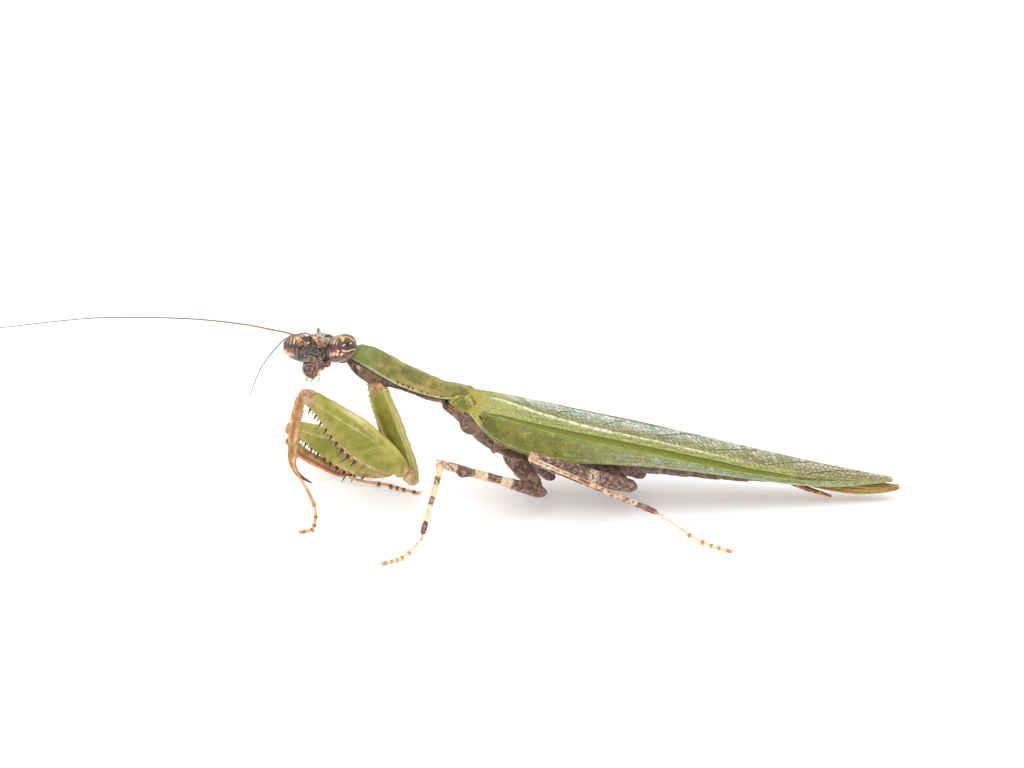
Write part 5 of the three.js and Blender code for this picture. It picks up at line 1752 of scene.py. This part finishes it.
def net_lines(wing, nets):
    """Fine veins on the walls of the cells, as lines over the wing."""
    looks = {COSTAL: (0.45, 0.02, 0.12), DISC: (0.93, 0.025, 0.2), TAIL: (0.95, 0.024, 0.3)}
    lines = []
    for field, (share, radius, tone) in looks.items():
        for start, end in nets[field].walls(share):
            if np.linalg.norm(end - start) > 1.3 or start[0] < 5 + np.sin(7 * start[1]):
                continue
            places = start + (end - start) * np.linspace(0, 1, 3)[:, None]
            s, q = wing.share(*places.T)
            if s.min() < 0.015 or s.max() > 0.985 or q.min() < 0.01 or q.max() > 0.985:
                continue
            if (wing.field(*places.T) == field).all():
                darker = 0.08 * ease(start[0], 13, 18) if field == COSTAL else 0
                lines.append((wing.lifted(*places.T), radius, tone + darker))
    return lines


def long_line(wing, shares, start, end, radii, tone):
    x = np.linspace(start, end, 110)
    return wing.over(x, share_at(x, shares)), np.interp(x, [start, end], radii), tone


def main_veins(wing):
    """The long veins, the arched dark ones, the wavy pale ones and the rims."""
    start, end = wing.along[3], wing.along[-4]
    under = [share - 0.035 for share in band_foot]
    over = [0.6 * head + 0.4 * glossy for head, glossy in zip(band_head, glossy_line)]
    lines = [long_line(wing, band_foot, start, end, (0.06, 0.035), 0.1),
        long_line(wing, under, 2, 34, (0.035, 0.03), 0.1),
        long_line(wing, band_head, start, end, (0.07, 0.035), 0.1),
        long_line(wing, over, 3, 36, (0.035, 0.03), 0.45),
        long_line(wing, glossy_line, 4, 36, (0.04, 0.03), 0.6)]
    for places in dark_veins:
        x, share = Line([[a, b, 0] for a, b in places]).at(np.linspace(0, 1, 24))[:, :2].T
        lines.append((wing.over(x, share, 0.015), 0.04, 0.8))

    def along_edge(start, end, count, q, lift):
        s = np.linspace(start, end, count)
        return s, wing.sheet.surface(s, q) + lift * wing.sheet.outward(s, q)

    for start, end, tone in ((0.01, 0.36, 0.0), (0.35, 0.985, 0.1)):
        s, rim = along_edge(start, end, 80, 0.006, -0.5 * BLADE)
        lines.append((rim, np.interp(s, [0, 0.1, 0.8, 1], [0.08, 0.07, 0.05, 0.03]), tone))
    lines.append((along_edge(0.02, 0.34, 70, 0.045, 0.01)[1], 0.03, 0.04))
    for number, low in enumerate((0.3, 0.55, 0.8, 0.25, 0.48, 0.75)):
        x = np.linspace(9, 16, 90) if number < 3 else np.linspace(15, 35, 240)
        tooth = np.abs((x * 1.25 + 0.37 * number + 0.15 * np.sin(2.1 * x)) % 1 - 0.5) * 2
        sway = 0.07 * (tooth - 0.5) + 0.03 * np.sin(1.7 * x + number)
        places = wing.over(x, share_at(x, band_foot) * (low + sway))
        lines.append((places, 0.022, 0.07 if number < 3 else 0.2))
    s, ridge = along_edge(0.02, 0.5, 90, 0.985, -0.4 * BLADE)
    lines.append((ridge, np.interp(s, [0, 1], [0.07, 0.04]), 0.12))
    return lines


def blade_grid(rows, columns, round_from=0.982):
    """The s and q of a wing's grid, drawn in at both ends to a round tip and root."""
    s, q = np.meshgrid(np.linspace(0, 1, rows), np.linspace(0, 1, columns), indexing="ij")
    last = np.clip((s - round_from) / (1 - round_from), 0, 1)
    return s, 0.5 + (q - 0.5) * np.sqrt(1 - 0.97 * last ** 2)


def blade_shape(wing, nets):
    s, q = blade_grid(440, 86)
    places = wing.map_place(s, q).reshape(-1, 2)
    x = places[:, 0].reshape(s.shape)
    fields = wing.field(*places.T)
    lot, gap, rise = (np.zeros(len(places)) for _ in range(3))
    for number, net in nets.items():
        here = fields == number
        lot[here], gap[here], rise[here] = net.told(places[here])
    lot, gap, rise, fields = (value.reshape(s.shape) for value in (lot, gap, rise, fields))
    breadth = np.interp(s, wing.samples, wing.breadth)
    foot, head, glossy = (share_at(x, shares) for shares in (band_foot, band_head, glossy_line))
    tail = ease(x, TAIL_START - 1, TAIL_START + 1)
    in_band = band(q, foot, head, 0.01) * (1 - ease(x, 33, 37))
    line = crest((q - glossy) * breadth, 0, 0.14 + 0.16 * band(x, 2, 15, 3))
    line = line * ease(x, 1, 3) * ease(-x, -30, -18)
    plain = ease(x, 3, 7)
    depth = np.choose(fields, [0.015, 0.012, 0.02, 0.015])
    relief = depth * plain * ease(gap, 0.0, 0.35) + 0.07 * line - 0.03 * in_band
    relief *= band(q, 0.012, 0.988, 0.012)
    outward = wing.sheet.outward(s, q)
    outer = wing.sheet.surface(s, q) + relief[..., None] * outward
    return sheet_skin(outer, outer - BLADE * outward, wing.side > 0, cell=lot, gap=gap, rise=rise * plain,
        along=s, band=in_band, crest=line, tail=tail * ease(q, foot, foot + 0.1),
        disc=ease(q, head - 0.01, head + 0.01), upper=ease(q, glossy, 1.0),
        frost=ease(x, 9, 24) * ease(0.38 - q, -0.05, 0.16),
        band_rise=np.clip((q - foot) / (head - foot), 0, 1),
        spot=crest(np.hypot(x - 0.9, (q - 0.23) * breadth), 0, 0.4), root=band(x, -1, 0.9, 0.9))


def tegmen_pieces(name, side, membrane, vein):
    wing = Wing(tegmen_rows, side)
    nets = wing_nets(wing)
    piece_of(f"tegmen_blade_{name}", blade_shape(wing, nets), membrane, "forewing", f"tegmen_{name}")
    lines = net_lines(wing, nets) + main_veins(wing)
    finished(tubes(f"tegmen_veins_{name}", lines, vein, 5), "forewing")


def hindwing_piece(name, side, membrane):
    wing = Wing(hindwing_rows, side)
    s, q = blade_grid(240, 40, 0.97)
    outward = wing.sheet.outward(s, q)
    fluting = 0.04 * np.sin(q * math.pi * 9) * band(q, 0.05, 0.95, 0.05)
    outer = wing.sheet.surface(s, q) + fluting[..., None] * outward
    blade = sheet_skin(outer, outer - 0.1 * outward, side > 0,
        rim=np.maximum(0.9 * ease(s, 0.955, 1.0), ease(0.1 - q, 0, 0.1)), tail=ease(s, 0.7, 0.9))
    piece_of(f"hindwing_blade_{name}", blade, membrane, "hindwing", f"hindwing_{name}")


def wing_pieces():
    membrane, vein, hind = tegmen_finish(), vein_finish(), hindwing_finish()
    for name, side in SIDES_OF_BODY.items():
        tegmen_pieces(name, side, membrane, vein)
        hindwing_piece(name, side, hind)


# ---- legs ----


def toes(points, shares, radius):
    """The segments of a foot along its line, each narrow at its root, with a pad under its end."""
    line = Line(points)
    parts = []

    def tip(t, turn):
        return {"tip": ease(t, 0.5 if parts else 0.85, 1.0)}

    for start, end in zip(shares[:-1], shares[1:]):
        stations = [[*line.at(start), 0.6 * radius, 0.6 * radius],
            [*line.at(start + 0.6 * (end - start)), 0.72 * radius, 0.72 * radius],
            [*line.at(end), radius, radius]]
        heading = line.heading(end)
        toe = Limb(stations, unit(np.cross(heading, (0, 0, 1.0))))
        parts.append(limb_skin(toe, 16, 18, dome=0.5, marks=tip))
        pad = line.at(end) - heading * 0.12
        pad[2] = max(pad[2] - radius, 0.8 * radius)
        parts.append(ball((1.1 * radius, 0.95 * radius, 0.78 * radius), pad, 10, 14, tip=0.55))
    return parts


def horned(rise):
    """The marks of a claw or spur for the finish of the spines."""
    return {"rise": rise, "tone": 0.8}


def foot_claws(points, radius):
    """The two hooked claws at the end of a foot."""
    line = Line(points)
    end, heading = line.at(1.0), line.heading(1.0)
    aside = unit(np.cross(heading, (0, 0, 1.0)))
    parts = []
    for side in (1, -1):
        root = end + aside * side * 0.5 * radius + (0, 0, 0.02)
        bend = root + heading * 0.22 + aside * side * 0.12 + (0, 0, 0.06)
        point = root + heading * 0.42 + aside * side * 0.17 + (0, 0, -0.1)
        parts.append(claw([root, bend, point], [0.07, 0.05, 0.012], marks=lambda t, turn: horned(0.6 * t)))
    parts.append(ball((1.1 * radius, 1.1 * radius, 0.8 * radius), end - heading * 0.05, 10, 16, tone=0.7))
    return parts


# Where the segments of a foot end, as shares of its length
FOOT_SHARES = [0, 0.49, 0.68, 0.79, 0.88, 0.98]
FORE_FOOT_SHARES = [0, 0.42, 0.6, 0.73, 0.84, 0.97]


def walking_leg_pieces(name, leg, skin_finish, horn_finish):
    stout = leg["stout"]
    hind = name.startswith("hind")
    thigh = Limb(between(leg["hinge"], leg["knee"], shrunk(femur_rows), stout), (0, -1, 0))
    shin_rows = shrunk(tibia_rows, 0.86 if hind else 0.92)
    shin = Limb(between(leg["shin"], leg["ankle"], shin_rows, stout), (0, -1, 0))

    def ridged(t, turn):
        ridges = np.cos(2 * math.pi * turn * 6) * band(t, 0.08, 0.94, 0.05)
        return 0.03 * ridges + 0.03 * ripples(t, turn, 30, 3, 0.5) - 0.08 * crest(t, 0.955, 0.03)

    def fuller(t, turn):
        return ridged(t, turn) + 0.34 * hind * crest(turn, 0.72, 0.25) * band(t, 0.15, 0.85, 0.1)

    def thigh_marks(t, turn):
        dark = most(0.95 * band(t, -1, 0.33, 0.03), 0.75 * band(t, 0.43, 0.57) * band(turn, 0.0, 0.6, 0.1),
            band(t, 0.69, 0.86), 0.5 * band(t, 0.86, 2))
        if hind:
            dark = 0.78 - 0.3 * crest(t, 0.42, 0.1) - 0.2 * crest(t, 0.9, 0.1)
        return {"dark": dark, "speckled": 1.0, "rust": 0.6 * crest(turn, 0.62, 0.05) * band(t, 0.02, 0.16),
            "pink": 0.4 * band(t, 0.8, 2)}

    def shin_marks(t, turn):
        dark = [0.62 * band(t, 0.15, 0.29), 0.6 * band(t, 0.45, 0.6), 0.95 * band(t, 0.84, 2)]
        return {"dark": most(*dark), "speckled": 0.5, "straw": 1.0}

    def hind_shin_marks(t, turn):
        front = 0.75 * crest(turn, 0.44, 0.3) - 0.6 * crest(turn, 0.52, 0.05)
        dark = [0.58 * band(t, 0.84, 2), front * band(t, -0.1, 0.42, 0.08),
            0.6 * crest(turn, 0.62, 0.06) * band(t, 0.02, 0.3, 0.04)]
        dots = np.maximum(ease(np.sin(95 * t + 3 * np.sin(17 * t)), 0.1, 0.6) * crest(turn, 0.38, 0.2),
            ease(np.sin(80 * t + 3 * np.sin(23 * t)), 0.2, 0.7) * crest(turn, 0.6, 0.16))
        return {"dark": most(*dark), "dot": dots * band(t, 0.3, 0.98, 0.04), "speckled": 0.5,
            "straw": crest(turn, 0.66, 0.06) * band(t, -1, 0.34, 0.1),
            "pink": 0.9 - 0.5 * crest(turn, 0.52, 0.06)}

    parts = [limb_skin(thigh, 36, 110, fuller, marks=thigh_marks),
        limb_skin(shin, 30, 100, lambda t, turn: 0.5 * ridged(t, turn),
            marks=hind_shin_marks if hind else shin_marks)]
    for part in toes(leg["tarsus"], FOOT_SHARES, 0.2):
        part.marks["rust"] = 0.75 * part.marks.pop("tip")
        part.marks["straw"] = 1.0 + 0 * part.marks["rust"]
        parts.append(part)
    knee = np.array(leg["knee"], float)
    parts.append(
        ball((0.5 * stout, 0.42 * stout, 0.5 * stout), (knee + leg["shin"]) / 2, dark=0.35, pink=0.8))
    past = unit(knee - leg["hinge"])
    for drop, lift in ((0.2, 0.25), (-0.05, 0.0), (-0.15, -0.3)):
        root = knee - past * 0.1 + (0, -0.2, lift)
        lobe = [root, root + past * 0.32 * stout, root + past * 0.55 * stout + (0, 0, drop)]
        parts.append(
            claw(lobe, [0.26, 0.2, 0.06], 14, 10, marks=lambda t, turn: {"dark": 0.4, "pink": 0.9}))
    nodes = [f"{name}_{segment}" for segment in ("femur", "tibia", "tarsus")]
    piece_of(f"{name}_skin", joined(*parts), skin_finish, "banded_leg", *nodes)

    ankle, way = np.array(leg["ankle"], float), unit(np.array(leg["ankle"]) - np.array(leg["shin"]))
    spurs = []
    for side in (1, -1):
        bend = ankle + way * 0.35 + (0, side * 0.12, -0.1)
        point = ankle + way * 0.75 + (0, side * 0.2, -0.12)
        spurs.append(claw([ankle, bend, point], [0.1, 0.08, 0.015], marks=lambda t, turn: horned(t)))
    horn = joined(*spurs, *foot_claws(leg["tarsus"], 0.2))
    return piece_of(f"{name}_claws", horn, horn_finish, "banded_leg")


# ---- raptorial forelegs ----


def spine_line(limb, shares, turn, lengths, radii, lean, aside=0.0, tones=0.0):
    """Spines along a line of a limb's surface: roots, ways, lengths, radii and tones."""
    shares = np.asarray(shares, float)
    along, side, _ = limb.axes(shares)
    out = unit(limb.surface(shares, turn, 1.0) - limb.surface(shares, turn, 0.0))
    sizes = [np.broadcast_to(size, len(shares)) for size in (lengths, radii, tones)]
    return limb.surface(shares, turn, -0.06), out + lean * along + aside * side, *sizes


def drawn(t, turn, places, half_width):
    """1 on a line drawn over a limb through places of (share of length, share of a turn)."""
    shares, turns = zip(*places)
    on_length = band(t, shares[0], shares[-1], 0.012)
    return crest(turn, np.interp(t, shares, turns), half_width) * on_length


femur_ribs = [
    [(0.05, 0.52), (0.15, 0.45), (0.3, 0.42), (0.42, 0.43), (0.63, 0.46), (0.93, 0.48)],
    [(0.29, 0.42), (0.33, 0.5), (0.37, 0.58), (0.4, 0.67)],
    [(0.03, 0.5), (0.05, 0.6), (0.12, 0.635), (0.3, 0.65), (0.45, 0.67), (0.6, 0.69), (0.86, 0.69)],
    [(0.3, 0.4), (0.5, 0.37), (0.75, 0.34)],
    [(0.45, 0.36), (0.65, 0.33), (0.8, 0.31)],
]
coxa_ribs = [
    [(0.06, 0.62), (0.3, 0.6), (0.6, 0.6), (0.97, 0.56)],
    [(0.06, 0.68), (0.3, 0.67), (0.6, 0.67), (0.97, 0.64)],
    [(0.08, 0.73), (0.5, 0.74), (0.95, 0.73)],
    [(0.1, 0.27), (0.5, 0.27), (0.9, 0.27)],
]


def foreleg_pieces(name, leg, green, tawny, horn):
    plane = unit(np.array(leg["plane"], float))
    coxa = Limb(between(leg["hip"], leg["trochanter"], shrunk(fore_coxa_rows)), plane)
    femur = Limb(between(leg["hinge"], leg["knee"], shrunk(fore_femur_rows)), plane)
    sizes = [(0.42, 0.5), (0.4, 0.52), (0.36, 0.52), (0.32, 0.46), (0.26, 0.32), (0.16, 0.2), (0.05, 0.05)]
    tibia = Limb([[*point, *size] for point, size in zip(leg["shin"] + leg["hook"], sizes)], plane)
    far = 1.0 if name == "right" else 0.0

    def coxa_relief(t, turn):
        edges = crest(turn, 0.25, 0.05) + crest(turn, 0.75, 0.05)
        return 0.06 * edges * band(t, 0.1, 0.9, 0.06) + 0.04 * ripples(t, turn, 22, 3, 0.2)

    def coxa_marks(t, turn):
        return {"deep": band(t, 0.15, 1.0, 0.15) * band(turn, 0.36, 0.6, 0.06),
            # light: lighter along the front edge and over the rear half of the near face
            "light": 0.5 * crest(turn, 0.3, 0.1) + 0.6 * band(turn, 0.6, 0.8, 0.03),
            "pale": most(*[0.8 * drawn(t, turn, rib, 0.011) for rib in coxa_ribs]),
            "tan": 0.9 * band(t, 0.93, 2, 0.03) * band(turn, 0.3, 0.7, 0.1),
            "brown": 0.85 * ease(0.02 * np.cos(2 * math.pi * turn * 7) - t, -0.13, 0)}

    def femur_relief(t, turn):
        keel = crest(turn, 0.25, 0.035)
        fold = crest(turn, 0.6, 0.05) * band(t, 0.15, 0.9, 0.05)
        return 0.05 * keel - 0.05 * fold + 0.03 * ripples(t, turn, 26, 3, 1.1) - 0.08 * crest(t, 0.93, 0.03)

    def femur_marks(t, turn):
        ribs = [(0.3 + 0.5 * ease(t, 0.28, 0.5)) * drawn(t, turn, rib, 0.009) for rib in femur_ribs]
        uneven = 0.03 * np.cos(2 * math.pi * turn * 2)
        return {"deep": 0.35 * crest(turn, 0.55, 0.1) * band(t, 0.3, 0.8, 0.1),
            # light: a painted highlight along the upper edge
            "light": 0.9 * crest(turn, 0.3, 0.1) * band(t, 0.1, 0.75, 0.1),
            # pale: a painted highlight high on the upper edge, and the pale ribs
            "pale": np.maximum(crest(turn, 0.32, 0.08) * crest(t, 0.6, 0.16), most(*ribs)),
            "tan": np.maximum(band(turn, 0.645, 0.95, 0.02) * band(t, -0.1, 0.5, 0.08),
                band(t, -1, 0.035, 0.02)),
            "brown": ease(t + uneven + 0.012 * np.cos(2 * math.pi * turn * 9), 0.87, 0.94)}

    elbow = ball((0.72, 0.7, 0.75), (np.array(leg["trochanter"]) + leg["hinge"]) / 2, tan=0.9)
    upper = joined(limb_skin(coxa, 72, 130, coxa_relief, marks=coxa_marks), elbow,
        limb_skin(femur, 120, 250, femur_relief, marks=femur_marks))
    piece_of(f"foreleg_green_{name}", upper, green, "foreleg_green", f"foreleg_coxa_{name}",
        f"foreleg_femur_{name}")

    def tibia_relief(t, turn):
        ridge = far * 0.13 * crest(turn, 0.75, 0.12) * band(t, 0.1, 0.65, 0.06)
        return 0.02 * np.cos(2 * math.pi * turn * 9) + 0.02 * ripples(t, turn, 20, 3, 0.3) + ridge

    def tibia_marks(t, turn):
        return {"brown": ease(t, 0.74, 0.86),
            "streak": 0.5 + 0.5 * np.cos(2 * math.pi * (turn * 4 + 0.35 * t)),
            "red": far * ease(np.cos(2 * math.pi * (turn - 0.25)), -0.5, 0.3),
            "amber": (0.5 + 0.5 * far) * crest(turn, 0.75, 0.12)}

    foot = toes(leg["tarsus"], FORE_FOOT_SHARES, 0.2)
    for part in foot:
        part.marks["brown"] = (0.55 + 0.3 * far) * part.marks.pop("tip")
        part.marks["amber"] = 1.0 + 0 * part.marks["brown"]
    hooked = limb_skin(tibia, 44, 150, tibia_relief, marks=tibia_marks)
    piece_of(f"foreleg_tawny_{name}", joined(hooked, *foot), tawny, "foreleg_tawny",
        f"foreleg_tibia_{name}", f"foreleg_tarsus_{name}")

    by_turns = np.arange(17) % 2
    comb = 0.68 - 0.24 * by_turns
    shown = np.array([0.8, 1.1, 1.5, 1.0]) * (1 - 0.2 * far)
    rows = [
        spine_line(femur, np.linspace(0.36, 0.88, 17), 0.72, comb, 0.15, -0.15, 0.2, by_turns),
        spine_line(femur, [0.45, 0.56, 0.67, 0.78], 0.81, 0.6, 0.15, -0.15, -0.2, 0.3),
        spine_line(femur, [0.26, 0.33, 0.4, 0.46], 0.76, shown, 0.17, 0.25, 0.0, 0.25),
        spine_line(tibia, np.linspace(0.1, 0.66, 22), 0.72, 0.26, 0.1, 0.3, 0.1, 1.0 - 0.7 * far),
        spine_line(tibia, np.linspace(0.12, 0.62, 12), 0.8, 0.28, 0.09, 0.3, -0.2, 0.8 - 0.6 * far),
        spine_line(coxa, np.linspace(0.08, 0.9, 16), 0.26, 0.24, 0.1, 0.1, 0.0, 0.7),
        spine_line(coxa, np.linspace(0.1, 0.86, 12), 0.74, 0.2, 0.09, 0.1, 0.0, 0.7),
    ]
    roots, ways, lengths, radii, tones = (np.concatenate(column) for column in zip(*rows))
    spines = thorns(f"foreleg_spines_{name}", roots, ways, lengths, radii, horn, tones, Sides=10, Blunt=0.1)
    finished(spines, "foreleg_tawny")
    claws = joined(*foot_claws(leg["tarsus"], 0.18))
    return piece_of(f"foreleg_claws_{name}", claws, horn, "foreleg_tawny")


def leg_pieces():
    horn, banded = spine_finish(), banded_finish()
    green, tawny = foreleg_finish(), tawny_finish()
    for name, leg in walking_legs.items():
        walking_leg_pieces(name, leg, banded, horn)
    for name, leg in fore_legs.items():
        foreleg_pieces(name, leg, green, tawny, horn)


# ---- studio ----

FLOOR_SIZE = 1000
LOOK_AT = (4.0, 0, 12.34)
LOOK_DOWN = 20
CAMERA_DISTANCE = 400
SENSOR_WIDTH = 36
LENS = 140.6
SKY_STRENGTH = 1.15


def aimed(thing, name, place, target):
    """Stands a light or camera at a place and turns it to a target, both in mantis millimetres."""
    stand = bpy.data.objects.new(name, thing)
    bpy.context.collection.objects.link(stand)
    stand.location = (np.array(place) + ORIGIN) * MM
    way = Vector(target) - Vector(place)
    stand.rotation_euler = way.to_track_quat("-Z", "Y").to_euler()
    return stand


def soft_light(name, place, size, power):
    light = bpy.data.lights.new(name, "AREA")
    light.size = size * MM
    light.energy = power
    return aimed(light, name, place, LOOK_AT)


def studio():
    corners = [(x, y, -ORIGIN[2]) for x, y in ((-1, -1), (1, -1), (1, 1), (-1, 1))]
    floor = mesh_object("floor", Shape(np.array(corners) * (FLOOR_SIZE, FLOOR_SIZE, 1), [(0, 1, 2, 3)]))
    floor.data.materials.append(floor_finish())
    world = bpy.data.worlds.new("studio")
    world.use_nodes = True
    sky = world.node_tree.nodes["Background"].inputs
    sky["Color"].default_value = (1, 1, 1, 1)
    sky["Strength"].default_value = SKY_STRENGTH
    bpy.context.scene.world = world
    soft_light("key", (-120, -180, 450), 380, 0.4)
    soft_light("fill", (80, -420, 120), 300, 0.2)
    camera = bpy.data.cameras.new("camera")
    camera.sensor_width = SENSOR_WIDTH
    camera.lens = LENS
    camera.clip_start = 0.01
    camera.clip_end = 10
    down = math.radians(LOOK_DOWN)
    back = CAMERA_DISTANCE * np.array((0, -math.cos(down), math.sin(down)))
    bpy.context.scene.camera = aimed(camera, "camera", np.array(LOOK_AT) + back, LOOK_AT)
    bpy.context.scene.view_settings.view_transform = "Standard"


head_pieces()
trunk_pieces()
wing_pieces()
leg_pieces()
studio()
